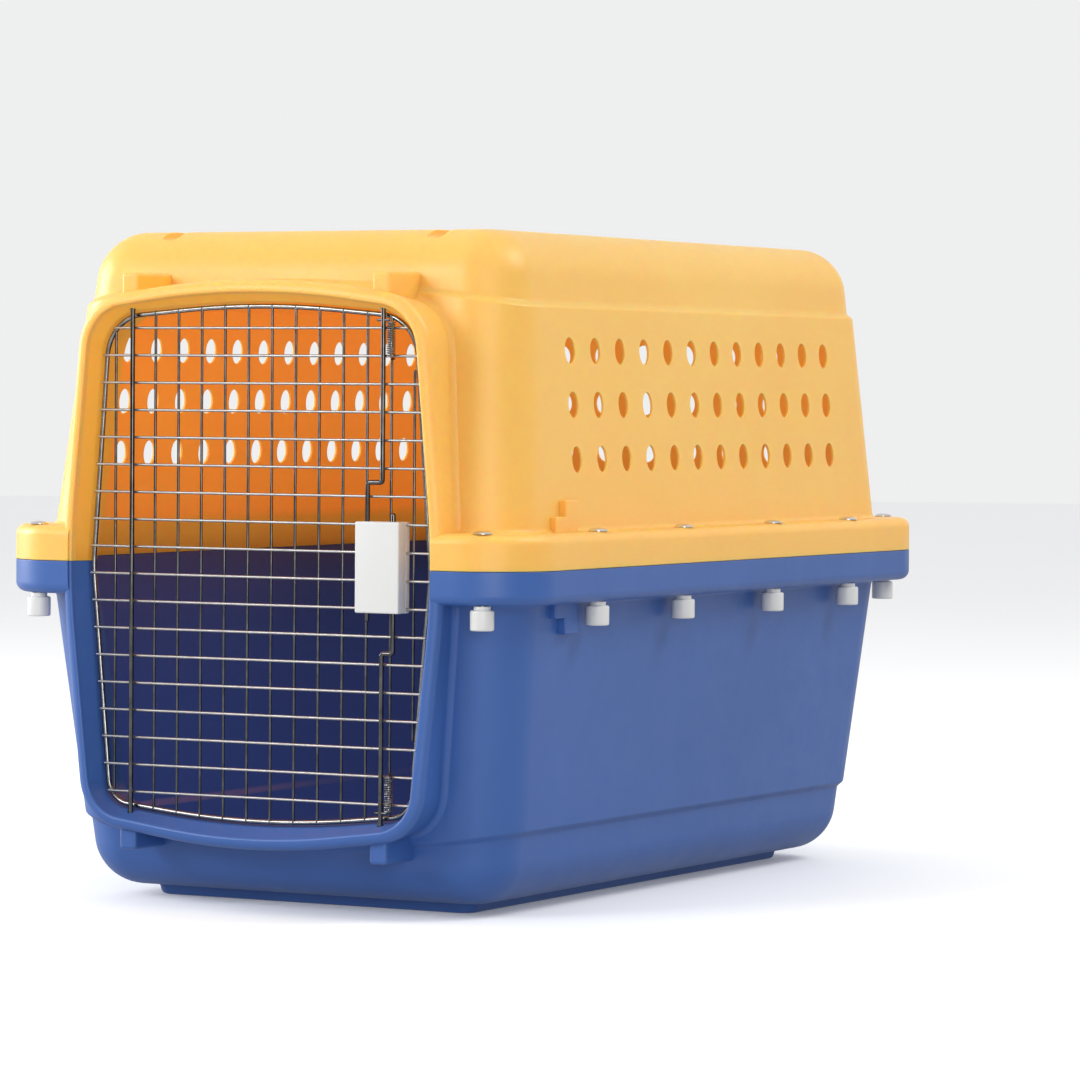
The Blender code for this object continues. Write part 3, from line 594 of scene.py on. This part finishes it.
def rounded_rectangle(half_x, front, back, radius, z):
    """Ring of points, anticlockwise from above."""
    centres = ((half_x - radius, front + radius, -90), (half_x - radius, back - radius, 0),
               (radius - half_x, back - radius, 90), (radius - half_x, front + radius, 180))
    ring = []
    for centre_x, centre_y, start in centres:
        for k in range(CORNER_STEPS + 1):
            angle = math.radians(start + 90 * k / CORNER_STEPS)
            ring.append((centre_x + radius * math.cos(angle), centre_y + radius * math.sin(angle), z))
    flat = half_x - radius
    for k in range(1, ARCH_CUTS):
        ring.append((-flat + 2 * flat * k / ARCH_CUTS, front, z))
    return ring


def cabin_ring(direction, z, inset, rise=0.0):
    """Ring of the cabin wall at height z. The front may rise to an arch, and keeps to its leaning plane."""
    lean = LEAN[direction]
    height = abs(z - SEAM_Z)
    half_x = CABIN_HALF_X - lean["side"] * height - inset
    front = CABIN_FRONT + lean["front"] * height + inset
    back = CABIN_BACK - lean["back"] * height - inset
    radius = max(CORNER_RADIUS - inset, SMALLEST_CORNER)
    ring = []
    for x, y, level in rounded_rectangle(half_x, front, back, radius, z):
        if rise and y < front + radius + 1e-6:
            lift = arch_lift(x, half_x, rise)
            forward = 1 - (y - front) / radius
            y += lean["front"] * direction * lift * forward
            level += lift
        ring.append((x, y, level))
    return ring


def shoulder_rings(direction, offset):
    """Soft step in the wall at the shoulder line."""
    rings = []
    for k in range(SHOULDER_STEPS + 1):
        share = k / SHOULDER_STEPS
        z = SHOULDER_Z[direction] + direction * SHOULDER_HEIGHT * (share - 0.5)
        inset = offset + SHOULDER_INSET * (1 - math.cos(math.pi * share)) / 2
        rings.append(cabin_ring(direction, z, inset, SHOULDER_ARCH[direction]))
    return rings


def cabin_solid(direction, offset, start_z):
    """Solid of one half of the cabin, its walls moved in by an offset."""
    rings = flange_fillet(direction, start_z) if offset == 0.0 else [cabin_ring(direction, start_z, offset)]
    rings += shoulder_rings(direction, offset)
    radius = EDGE_RADIUS[direction] - offset
    end = HEIGHT - offset if direction > 0 else FOOT_HEIGHT + offset
    for sine, cosine in arc(EDGE_STEPS):
        z = end - direction * radius * (1 - sine)
        rings.append(cabin_ring(direction, z, offset + SHOULDER_INSET + radius * (1 - cosine)))
    if direction < 0:
        rings += foot_rings(offset)
    return loft(rings)


def flange_fillet(direction, start_z):
    """Wall rings from the parting plane up through the concave fillet on the flange."""
    top = SEAM_Z + direction * BAND[direction]
    arcs = arc(FILLET_STEPS, FILLET_START, 90)
    widest = FLANGE_FILLET * (1 - arcs[0][0])
    rings = [cabin_ring(direction, start_z, -widest)]
    for sine, cosine in arcs:
        z = top + direction * FLANGE_FILLET * (1 - cosine - FILLET_SINK)
        rings.append(cabin_ring(direction, z, -FLANGE_FILLET * (1 - sine)))
    return rings


def foot_rings(offset):
    """The floor drops into a flat foot with a soft edge."""
    floor = FOOT_HEIGHT + offset
    inset = offset + FOOT_INSET
    rings = [cabin_ring(-1, floor, inset)]
    for sine, cosine in arc(4):
        level = offset + FOOT_ROUND * (1 - sine)
        rings.append(cabin_ring(-1, level, inset + FOOT_STEP + FOOT_ROUND * (1 - cosine)))
    return rings


def front_wall_y(x, z):
    """Where the outside of the front wall is, with its shoulder, its round corners and its round far edge."""
    direction = 1 if z > SEAM_Z else -1
    lean = LEAN[direction]
    height = abs(z - SEAM_Z)
    half_x = CABIN_HALF_X - lean["side"] * height
    line = SHOULDER_Z[direction] + arch_lift(x, half_x, SHOULDER_ARCH[direction])
    past = min(max(direction * (z - line) / SHOULDER_HEIGHT + 0.5, 0.0), 1.0)
    inset = SHOULDER_INSET * (1 - math.cos(math.pi * past)) / 2
    radius = EDGE_RADIUS[direction]
    edge = HEIGHT - radius if direction > 0 else FOOT_HEIGHT + radius
    over = min(max(direction * (z - edge) / radius, 0.0), 1.0)
    inset += radius * (1 - math.sqrt(1 - over * over))
    y = CABIN_FRONT + lean["front"] * height + inset
    corner = CORNER_RADIUS - inset
    into_corner = abs(x) - (half_x - inset - corner)
    if into_corner > 0:
        y += corner - math.sqrt(max(corner ** 2 - into_corner ** 2, 0.0))
    return y


# ---------------------------------------------------------------- flange, collar, doorway
def flange_solid(direction):
    """Flange band with a rounded outer edge and a fine edge at the parting plane."""
    start = SEAM_Z + direction * SEAM_GAP
    end = SEAM_Z + direction * BAND[direction]
    rings = []
    for sine, cosine in arc(3):
        rings.append(flange_ring(start + direction * SEAM_ROUND * (1 - cosine), SEAM_ROUND * (1 - sine)))
    for sine, cosine in arc(BAND_STEPS):
        rings.append(flange_ring(end - direction * BAND_ROUND * (1 - sine), BAND_ROUND * (1 - cosine)))
    return loft(rings)


def flange_ring(z, inset):
    return rounded_rectangle(FLANGE_HALF_X - inset, inset - FLANGE_HALF_Y, FLANGE_HALF_Y - inset,
                             FLANGE_CORNER - inset, z)


def collar_solid():
    """Collar round the doorway: rounded crest, flank that toes in, and a concave fillet onto the wall."""
    rings = []
    for sine, cosine in arc(RIM_STEPS):
        outline = symmetric_outline(MOUTH_OUTLINE, RIM_WIDTH - RIM_ROUND * (1 - sine))
        rings.append([(x, RIM_Y + RIM_ROUND * (1 - cosine), z) for x, z in outline])
    for sine, cosine in reversed(arc(FILLET_STEPS, FILLET_START, 90)):
        rings.append(collar_ring(COLLAR_FILLET * (1 - sine), COLLAR_FILLET * (1 - cosine - FILLET_SINK)))
    widest = COLLAR_FILLET * (1 - arc(1, FILLET_START, 90)[0][0])
    rings.append(collar_ring(widest, -COLLAR_ROOT))
    outline = symmetric_outline(MOUTH_OUTLINE, RIM_WIDTH)
    rings.append([(x, COLLAR_BACK_Y, z) for x, z in outline])
    return loft([list(reversed(ring)) for ring in rings])


def collar_ring(spread, stand):
    """Ring of the collar's flank, standing a distance off the wall and spread out from the flank's line."""
    near = symmetric_outline(MOUTH_OUTLINE, RIM_WIDTH)
    depths = [front_wall_y(x, z) - RIM_Y - RIM_ROUND for x, z in near]
    ring = []
    far = symmetric_outline(MOUTH_OUTLINE, RIM_WIDTH + OUTWARD_STEP)
    for (x, z), (out_x, out_z), depth in zip(near, far, depths):
        grow = spread - COLLAR_TOE_IN * max(depth - stand, 0.0)
        x += (out_x - x) * grow / OUTWARD_STEP
        z += (out_z - z) * grow / OUTWARD_STEP
        ring.append((x, front_wall_y(x, z) - stand, z))
    return ring


def doorway_cutter():
    """Hole through the collar: rounded lip, flare down to the door's plane, straight behind it."""
    mouth = symmetric_outline(MOUTH_OUTLINE)
    throat = symmetric_outline(DOOR_OUTLINE, THROAT_GROW)
    rings = [[(x, RIM_Y - MOUTH_PAST, z) for x, z in symmetric_outline(MOUTH_OUTLINE, RIM_INNER_ROUND)]]
    for sine, cosine in arc(RIM_STEPS - 2, 8, 90):
        outline = symmetric_outline(MOUTH_OUTLINE, RIM_INNER_ROUND * (1 - sine))
        rings.append([(x, RIM_Y + RIM_INNER_ROUND * (1 - cosine), z) for x, z in outline])
    for k in range(1, FLARE_STEPS + 1):
        share = k / FLARE_STEPS
        y = RIM_Y + RIM_INNER_ROUND + (THROAT_Y - RIM_Y - RIM_INNER_ROUND) * share
        rings.append([(x0 + (x1 - x0) * share, y, z0 + (z1 - z0) * share)
                      for (x0, z0), (x1, z1) in zip(mouth, throat)])
    rings.append([(x, COLLAR_BACK_Y + THROAT_PAST, z) for x, z in throat])
    return loft([list(reversed(ring)) for ring in rings])


def pocket_tab(side, direction):
    """Wedge for a rod's pocket, with soft edges."""
    centre = side * ROD_X
    corners = ((centre - TAB_HALF_FRONT, TAB_FRONT_Y, TAB_ROUND),
               (centre + TAB_HALF_FRONT, TAB_FRONT_Y, TAB_ROUND),
               (centre + TAB_HALF_BACK, TAB_BACK_Y, TAB_BACK_ROUND),
               (centre - TAB_HALF_BACK, TAB_BACK_Y, TAB_BACK_ROUND))
    low, high = TAB_Z[direction]
    edges = (TAB_EDGE, TAB_ROUND) if direction > 0 else (TAB_ROUND, TAB_EDGE)
    return soft_prism(corners, low, high, *edges, lambda u, v, w: (u, v, w))


def strap_lug(side, direction):
    """L-shaped lug that stands on the flange against the side wall: short in front, tall behind."""
    base = SEAM_Z + direction * (BAND[direction] - LUG_SINK)
    inner, outer = sorted((side * (CABIN_HALF_X - LUG_INWARD), side * (CABIN_HALF_X + LUG_REACH)))
    shapes = []
    short = (LUG_Y[0], LUG_STEP_Y + LUG_OVERLAP, LUG_SHORT)
    long = (LUG_STEP_Y, LUG_Y[1], LUG_TALL)
    for near, far, tall in (short, long):
        corners = ((inner, near, LUG_ROUND), (outer, near, LUG_ROUND), (outer, far, LUG_ROUND),
                   (inner, far, LUG_ROUND))
        tip = base + direction * (tall + LUG_SINK)
        edges = (SMALLEST_RADIUS, LUG_ROUND) if direction > 0 else (LUG_ROUND, SMALLEST_RADIUS)
        shapes.append(soft_prism(corners, min(base, tip), max(base, tip), *edges, lambda u, v, w: (u, v, w)))
    return shapes


def half_space(direction):
    near = SEAM_Z + direction * SEAM_GAP
    far = SEAM_Z + direction
    return box((-1, -1, min(near, far)), (1, 1, max(near, far)))


def vent(across, z, side):
    """Cutter for one oval vent whose edges are rounded on both faces of the wall. Side 0 is the back wall."""
    lean = LEAN[1]["side" if side else "back"]
    profile = [(VENT_PAST, VENT_ROUND)]
    profile += [(-VENT_ROUND * (1 - cosine), VENT_ROUND * (1 - sine)) for sine, cosine in arc(4, 8, 90)]
    profile += [(-WALL + VENT_ROUND * (1 - cosine), VENT_ROUND * (1 - sine))
                for sine, cosine in reversed(arc(4, 8, 90))]
    profile.append((-WALL - VENT_PAST, VENT_ROUND))
    rings = []
    for depth, grow in profile:
        ring = []
        for k in range(VENT_SIDES):
            angle = math.tau * k / VENT_SIDES
            along = across + (VENT_SIZE[0] / 2 + grow) * math.cos(angle)
            level = z + (VENT_SIZE[1] / 2 + grow) * math.sin(angle)
            wall = (CABIN_HALF_X if side else CABIN_BACK) - lean * (level - SEAM_Z) + depth
            ring.append((side * wall, along, level) if side else (along, wall, level))
        rings.append(ring)
    return loft(rings)


def vents():
    cutters = []
    for z in VENT_ROWS_Z:
        for column in range(VENT_COLUMNS):
            for side in (-1, 1):
                cutters.append(vent(VENT_FIRST_Y + column * VENT_PITCH, z, side))
        for column in range(BACK_VENT_COLUMNS):
            cutters.append(vent((column - (BACK_VENT_COLUMNS - 1) / 2) * VENT_PITCH, z, 0))
    return join_shapes(cutters)


def roof_channels(grow):
    """Two long round-cornered blocks along the roof."""
    shapes = []
    for side in (-1, 1):
        half_x = CHANNEL_HALF_WIDTH + grow
        half_y = CHANNEL_HALF_Y + grow
        bottom = HEIGHT - CHANNEL_DEPTH - grow
        left, right = side * CHANNEL_X - half_x, side * CHANNEL_X + half_x
        corners = ((left, bottom, CHANNEL_ROUND), (right, bottom, CHANNEL_ROUND),
                   (right, HEIGHT + MOUTH_PAST, CHANNEL_TOP_ROUND),
                   (left, HEIGHT + MOUTH_PAST, CHANNEL_TOP_ROUND))
        shapes.append(soft_prism(corners, -half_y, half_y, CHANNEL_END_ROUND, CHANNEL_END_ROUND,
                                 lambda u, v, w: (u, w, v)))
    return join_shapes(shapes)


def rod_pockets(direction):
    """Round blind pockets that take the tips of the hinge rod and the latch rod."""
    tip = HINGE_HIGH.z if direction > 0 else HINGE_LOW.z
    shapes = []
    for side in (-1, 1):
        ends = (tip - direction * POCKET_LENGTH, tip + direction * POCKET_END_GAP)
        line = [(side * ROD_X, ROD_Y, z) for z in ends]
        shapes.append(tube(line, POCKET_RADIUS, POCKET_SIDES, round_ends=False))
    return join_shapes(shapes)


def build_shell(name, direction, outside, inside):
    """One moulded shell, as one mesh with an outside and an inside material; the inside material is a darker
    copy with painted shade and a painted glow.
    """
    shell = make_object(name + "_moulding", cabin_solid(direction, 0.0, SEAM_Z + direction * SEAM_GAP))
    collar = make_object("collar", collar_solid())
    combine(collar, make_object("half", half_space(direction)), "INTERSECT")
    combine(shell, make_object("flange", flange_solid(direction)), "UNION")
    combine(shell, collar, "UNION")
    for side in (-1, 1):
        combine(shell, make_object("tab", pocket_tab(side, direction)), "UNION")
        for lug in strap_lug(side, direction):
            combine(shell, make_object("lug", lug), "UNION")
    cavity = make_object("cavity", cabin_solid(direction, WALL, SEAM_Z - direction * CAVITY_PAST))
    if direction > 0:
        combine(cavity, make_object("ribs", roof_channels(WALL)), "DIFFERENCE")
    combine(shell, cavity, "DIFFERENCE")
    combine(shell, make_object("doorway", doorway_cutter()), "DIFFERENCE")
    combine(shell, make_object("pockets", rod_pockets(direction)), "DIFFERENCE")
    if direction > 0:
        combine(shell, make_object("channels", roof_channels(0.0)), "DIFFERENCE")
        combine(shell, make_object("vents", vents()), "DIFFERENCE")
    settle(shell, (outside, inside), "carrier", [name])
    paint_shade_inside(shell, direction)
    normals = shell.modifiers.new("even shading", "WEIGHTED_NORMAL")
    normals.keep_sharp = True


def paint_shade_inside(shell, direction):
    """Give the faces of the cavity, and of the upper throat, the inside material, whose darker colour is
    painted shade.
    """
    for face in shell.data.polygons:
        x, y, z = face.center
        lean = LEAN[direction]
        height = abs(z - SEAM_Z)
        margin = WALL * INSIDE_MARGIN
        within_x = abs(x) < CABIN_HALF_X - lean["side"] * height - margin
        front = CABIN_FRONT + lean["front"] * height + margin
        back = CABIN_BACK - lean["back"] * height - margin
        within_y = front < y < back
        within_z = FOOT_HEIGHT < z < HEIGHT - margin
        faces_in = face.normal.dot(Vector((x, y, z - SEAM_Z))) < 0
        outwards = Vector((x, 0.0, z - SEAM_Z)).normalized()
        # the upper throat behind the lip is given painted shade through the darker inside material
        past_lip = direction > 0 and RIM_Y + THROAT_SHADE_START < y < COLLAR_BACK_Y
        in_throat = past_lip and face.normal.dot(outwards) < THROAT_FACING
        in_cavity = within_x and within_y and within_z and faces_in
        if in_cavity or in_throat:
            face.material_index = 1


# ---------------------------------------------------------------- fasteners
def build_bolt(number, steel):
    """Domed bolt head with a thin washer edge, over a short shank."""
    node = f"bolt_{number:02d}"
    low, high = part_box(node)
    centre = ((low.x + high.x) / 2, (low.y + high.y) / 2)
    radius = (high.x - low.x) / 2
    seat = SEAM_Z + BAND[1] + BOLT_GAP
    height = high.z - seat
    shank = radius * BOLT_SHANK
    profile = [(shank, low.z), (shank, seat)]
    profile += [(radius * wide, seat + height * tall) for wide, tall in BOLT_WASHER]
    for sine, cosine in arc(7, 12, 86):
        rise = BOLT_DOME_BASE + (1 - BOLT_DOME_BASE) * sine
        profile.append((radius * BOLT_DOME * cosine, seat + height * rise))
    settle(make_object(node + "_dome", lathe(profile, centre)), (steel,), "carrier", [node])


def build_nut(number, plastic):
    """Round plastic nut with a neck against the flange and a recess at its free end."""
    node = f"nut_{number:02d}"
    low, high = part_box(node)
    centre = ((low.x + high.x) / 2, (low.y + high.y) / 2)
    radius = (high.x - low.x) / 2
    top = high.z - NUT_NECK_HEIGHT
    edge = NUT_ROUND
    profile = [(radius * wide, low.z + deep) for wide, deep in NUT_RECESS]
    profile += [(radius - edge * (1 - sine), low.z + edge * (1 - cosine)) for sine, cosine in arc(5)]
    profile += [(radius - edge * (1 - sine), top - edge * (1 - cosine)) for sine, cosine in reversed(arc(5))]
    profile += [(NUT_NECK_RADIUS, top), (NUT_NECK_RADIUS, high.z)]
    settle(make_object(node + "_cap", lathe(profile, centre)), (plastic,), "carrier", [node])


# ---------------------------------------------------------------- door
def outline_half_width(points, z):
    best = 0.0
    for (x0, z0), (x1, z1) in zip(points, points[1:] + points[:1]):
        if min(z0, z1) <= z <= max(z0, z1) and z0 != z1:
            best = max(best, x0 + (x1 - x0) * (z - z0) / (z1 - z0))
    return best


def horizontal_wire_heights():
    return [TOP_WIRE_Z - i * WIRE_PITCH for i in range(HORIZONTAL_WIRES)]


def build_grille(bright, frame_metal):
    """Perimeter wire with the horizontal wires welded across its front."""
    outline = symmetric_outline(DOOR_OUTLINE)
    perimeter = tube([(x, PERIMETER_Y, z) for x, z in outline], PERIMETER_RADIUS, ROD_SIDES, closed=True)
    grille = make_object("door_grille_frame", perimeter)
    frame_faces = len(grille.data.polygons)
    rows = []
    for z in horizontal_wire_heights():
        reach = outline_half_width(outline, z) + WIRE_TIP
        rows.append(tube([(-reach, WIRE_Y, z), (reach, WIRE_Y, z)], WIRE_RADIUS))
    wires = make_object("rows", join_shapes(rows))
    merged = bmesh.new()
    merged.from_mesh(grille.data)
    merged.from_mesh(wires.data)
    merged.to_mesh(grille.data)
    merged.free()
    bpy.data.objects.remove(wires, do_unlink=True)
    settle(grille, (frame_metal, bright), "door", ["door_grille"])
    for face in grille.data.polygons:
        if face.index >= frame_faces:
            face.material_index = 1


def build_vertical_wire(number, metal):
    """One vertical wire, welded to the back of the horizontal ones."""
    node = f"vertical_wire_{number:02d}"
    low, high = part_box(node)
    x = (low.x + high.x) / 2
    y = WIRE_Y + 2 * WIRE_RADIUS - WELD_OVERLAP
    reach = 2 * PERIMETER_RADIUS + WIRE_RADIUS / 2
    shapes = [tube([(x, y, low.z - reach), (x, y, high.z + reach)], WIRE_RADIUS)]
    for z in horizontal_wire_heights():
        if low.z < z < high.z:
            shapes.append(weld_bead(x, y, z))
    settle(make_object(node + "_round", join_shapes(shapes)), (metal,), "door", [node])


def weld_bead(x, y, z):
    """Small flattened swelling where two wires are welded."""
    bm = bmesh.new()
    bmesh.ops.create_icosphere(bm, subdivisions=2, radius=BEAD_RADIUS)
    squeeze = Matrix.Diagonal((*BEAD_STRETCH, 1.0))
    bmesh.ops.transform(bm, matrix=Matrix.Translation((x, y, z)) @ squeeze, verts=bm.verts)
    return bm


def build_hinge_rod(metal):
    rod = tube([(-ROD_X, ROD_Y, HINGE_LOW.z), (-ROD_X, ROD_Y, HINGE_HIGH.z)], ROD_RADIUS, ROD_SIDES)
    settle(make_object("hinge_rod_round", rod), (metal,), "door", ["hinge_rod"])


def build_latch_rod(node, body, direction, metal):
    """Cranked rod with a flat cross pin that presses on its spring."""
    tip = HINGE_HIGH.z if direction > 0 else HINGE_LOW.z
    crank = CRANK_Z[direction]
    stub_x = CRANK_X[direction]
    corners = [(ROD_X, tip), (ROD_X, crank), (stub_x, crank), (stub_x, STUB_Z[direction])]
    rod = tube(rounded_path([(x, ROD_Y, z) for x, z in corners], BEND_RADIUS), ROD_RADIUS, ROD_SIDES)
    pin = tube([(x, ROD_Y - PIN_FORWARD, PIN_Z[direction]) for x in PIN_X], PIN_RADIUS)
    shapes = make_object(node + "_round", join_shapes([rod, pin]))
    settle(shapes, (metal,), body, [node])


def build_spring(node, metal):
    """Compression spring with flat end turns."""
    low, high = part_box(node)
    centre_x = (low.x + high.x) / 2
    centre_y = (low.y + high.y) / 2
    radius = (high.x - low.x) / 2 - COIL_WIRE_RADIUS
    steps = COIL_TURNS * COIL_TURN_STEPS
    path = []
    for k in range(steps + 1):
        share = k / steps
        turned = share * COIL_TURNS
        rise = min(max((turned - COIL_FLAT_TURN) / (COIL_TURNS - 2 * COIL_FLAT_TURN), 0.0), 1.0)
        angle = math.tau * turned
        climb = COIL_FLAT_CLIMB * share + (1 - COIL_FLAT_CLIMB) * rise
        z = low.z + COIL_WIRE_RADIUS + (high.z - low.z - 2 * COIL_WIRE_RADIUS) * climb
        path.append((centre_x + radius * math.cos(angle), centre_y + radius * math.sin(angle), z))
    coil = make_object(node + "_coil", tube(path, COIL_WIRE_RADIUS, COIL_SIDES))
    settle(coil, (metal,), "door", [node])
    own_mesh(coil)


def build_guide(node, direction, metal):
    """Wire inside the spring, bent back over a grille wire at its fixed end."""
    low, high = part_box(node)
    x = (low.x + high.x) / 2
    y = low.y + GUIDE_RADIUS
    free, fixed = (high.z, low.z + GUIDE_RADIUS) if direction > 0 else (low.z, high.z - GUIDE_RADIUS)
    corners = [(x, y, free), (x, y, fixed), (x, high.y, fixed)]
    guide = tube(rounded_path(corners, GUIDE_BEND), GUIDE_RADIUS, GUIDE_SIDES)
    settle(make_object(node + "_round", guide), (metal,), "door", [node])


def build_housing_half(node, edge_front, edge_back, plastic):
    """Half of the latch housing, with soft edges."""
    low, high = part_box(node)
    corners = [(x, z, HOUSING_ROUND) for x, z in
               ((low.x, low.z), (high.x, low.z), (high.x, high.z), (low.x, high.z))]
    block = soft_prism(corners, low.y, high.y, edge_front, edge_back, lambda u, v, w: (u, w, v), 6)
    settle(make_object(node + "_block", block), (plastic,), "door", [node])


# ---------------------------------------------------------------- studio
def build_floor():
    bm = bmesh.new()
    bmesh.ops.create_circle(bm, cap_ends=True, segments=96, radius=FLOOR_RADIUS)
    floor = make_object("studio_floor", bm)
    floor.location.z = -FLOOR_DROP
    floor.data.materials.append(studio_floor())


def area_light(name, place, size, power):
    """Square soft light that faces the middle of the object."""
    light = bpy.data.lights.new(name, "AREA")
    light.size = size
    light.energy = power
    obj = bpy.data.objects.new(name, light)
    obj.location = place
    obj.rotation_euler = (LIGHT_TARGET - Vector(place)).to_track_quat("-Z", "Y").to_euler()
    bpy.context.scene.collection.objects.link(obj)


def smooth_step(nodes, links, value, edges, levels):
    node = nodes.new("ShaderNodeMapRange")
    node.interpolation_type = "SMOOTHSTEP"
    node.inputs["From Min"].default_value, node.inputs["From Max"].default_value = edges
    node.inputs["To Min"].default_value, node.inputs["To Max"].default_value = levels
    links.new(value, node.inputs["Value"])
    return node.outputs["Result"]


def build_world():
    """Studio room: white backdrop and ceiling, a darker room in front, and a plain pale background."""
    world = bpy.data.worlds.new("studio")
    world.use_nodes = True
    nodes, links = world.node_tree.nodes, world.node_tree.links
    room = nodes["Background"]
    room.inputs["Color"].default_value = ROOM_COLOUR
    direction = nodes.new("ShaderNodeTexCoord").outputs["Generated"]
    facing = nodes.new("ShaderNodeVectorMath")
    facing.operation = "DOT_PRODUCT"
    facing.inputs[1].default_value = (-math.sin(CAMERA_YAW), math.cos(CAMERA_YAW), 0.0)
    links.new(direction, facing.inputs[0])
    parts = nodes.new("ShaderNodeSeparateXYZ")
    links.new(direction, parts.inputs["Vector"])
    horizon = smooth_step(nodes, links, facing.outputs["Value"], BACKDROP_EDGES, (ROOM_DARK, ROOM_WHITE))
    height = smooth_step(nodes, links, parts.outputs["Z"], CEILING_EDGES, (0.0, 1.0))
    mix = nodes.new("ShaderNodeMix")
    links.new(height, mix.inputs["Factor"])
    links.new(horizon, mix.inputs["A"])
    mix.inputs["B"].default_value = ROOM_CEILING
    links.new(mix.outputs["Result"], room.inputs["Strength"])

    seen = nodes.new("ShaderNodeBackground")
    seen.inputs["Color"].default_value = BACKGROUND_COLOUR
    ray = nodes.new("ShaderNodeLightPath")
    choice = nodes.new("ShaderNodeMixShader")
    links.new(ray.outputs["Is Camera Ray"], choice.inputs["Fac"])
    links.new(room.outputs["Background"], choice.inputs[1])
    links.new(seen.outputs["Background"], choice.inputs[2])
    links.new(choice.outputs["Shader"], nodes["World Output"].inputs["Surface"])
    bpy.context.scene.world = world


def build_studio():
    build_world()
    for name, place, size, power in SOFTBOXES:
        area_light(name, place, size, power)
    bpy.context.scene.view_settings.view_transform = "Standard"


def build_camera():
    """Camera from its place and its yaw, pitch and roll."""
    forward = Vector((-math.sin(CAMERA_YAW), math.cos(CAMERA_YAW), 0.0))
    right = Vector((math.cos(CAMERA_YAW), math.sin(CAMERA_YAW), 0.0))
    up = Vector((0.0, 0.0, 1.0))
    ahead = forward * math.cos(CAMERA_PITCH) + up * math.sin(CAMERA_PITCH)
    above = up * math.cos(CAMERA_PITCH) - forward * math.sin(CAMERA_PITCH)
    across = right * math.cos(CAMERA_ROLL) + above * math.sin(CAMERA_ROLL)
    above = above * math.cos(CAMERA_ROLL) - right * math.sin(CAMERA_ROLL)
    data = bpy.data.cameras.new("photo_view")
    data.lens = CAMERA_LENS
    data.sensor_width = SENSOR
    data.clip_end = 100.0
    camera = bpy.data.objects.new("photo_view", data)
    camera.matrix_world = Matrix((
        (across.x, above.x, -ahead.x, CAMERA_PLACE[0]),
        (across.y, above.y, -ahead.y, CAMERA_PLACE[1]),
        (across.z, above.z, -ahead.z, CAMERA_PLACE[2]),
        (0.0, 0.0, 0.0, 1.0)))
    bpy.context.scene.collection.objects.link(camera)
    bpy.context.scene.camera = camera


# ---------------------------------------------------------------- the object
def build_object():
    yellow = moulded_plastic("yellow_plastic", (0.89, 0.50, 0.105), (0.92, 0.535, 0.122), glow=0.8,
                             glow_radius=(1.0, 0.40, 0.06))
    # The inside materials are darker copies of the outside plastic: painted shade for the cavity and the
    # upper throat, with a painted glow by emission.
    orange_painted_shade_and_glow = moulded_plastic("yellow_inside_painted_shade_and_glow", (0.80, 0.36, 0.045), (0.82, 0.39, 0.055), (0.30, 0.40),
                             glow=0.8, glow_radius=(1.0, 0.40, 0.06),
                             through=((0.62, 0.31, 0.040), ((SEAM_Z, 0.07), (0.318, 0.22), (0.350, 0.32),
                                                            (0.45, 0.41), (HEIGHT, 0.41))))
    blue = moulded_plastic("blue_plastic", (0.036, 0.104, 0.34), (0.042, 0.118, 0.38))
    navy_painted_shade_and_glow = moulded_plastic("blue_inside_painted_shade_and_glow", (0.022, 0.055, 0.22), (0.027, 0.066, 0.25), (0.28, 0.38),
                           through=((0.17, 0.27, 1.0), ((SEAM_Z, 0.010), (0.265, 0.035), (0.19, 0.056),
                                                        (0.0, 0.072))))
    white = moulded_plastic("white_plastic", (0.66, 0.66, 0.65), (0.70, 0.70, 0.69))
    # The three wire metals are one chrome in lighter and darker copies: painted bright reflection on the
    # horizontal wires, painted dark reflection on the verticals and rods, in between on the frame and the
    # springs.
    bright = wire_metal("chrome_painted_bright_reflection", (0.38, 0.38, 0.38), (0.48, 0.48, 0.47), (0.36, 0.46))
    middle = wire_metal("chrome_painted_middle_reflection", (0.22, 0.22, 0.22), (0.38, 0.38, 0.37), (0.16, 0.28))
    dark = wire_metal("chrome_painted_dark_reflection", (0.075, 0.075, 0.08), (0.15, 0.15, 0.15), (0.06, 0.14))
    steel = wire_metal("bolt_steel_dome", (0.64, 0.63, 0.61), (0.80, 0.79, 0.77), (0.14, 0.26))

    build_shell("upper_shell", 1, yellow, orange_painted_shade_and_glow)
    build_shell("lower_shell", -1, blue, navy_painted_shade_and_glow)
    bolts = [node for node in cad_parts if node.startswith("bolt_")]
    for number in range(1, len(bolts) + 1):
        build_bolt(number, steel)
        build_nut(number, white)
    build_grille(bright, middle)
    verticals = [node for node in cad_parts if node.startswith("vertical_wire_")]
    for number in range(1, len(verticals) + 1):
        build_vertical_wire(number, dark)
    build_hinge_rod(dark)
    for direction, side in ((1, "upper"), (-1, "lower")):
        build_latch_rod(side + "_latch_rod", side + "_latch", direction, dark)
        build_spring(side + "_spring", middle)
        build_guide(side + "_spring_guide", direction, dark)
    build_housing_half("latch_housing_front", HOUSING_ROUND, HOUSING_JOINT_ROUND, white)
    build_housing_half("latch_housing_back", HOUSING_JOINT_ROUND, HOUSING_BACK_ROUND, white)


build_object()
build_floor()
build_studio()
build_camera()
bpy.context.view_layer.update()
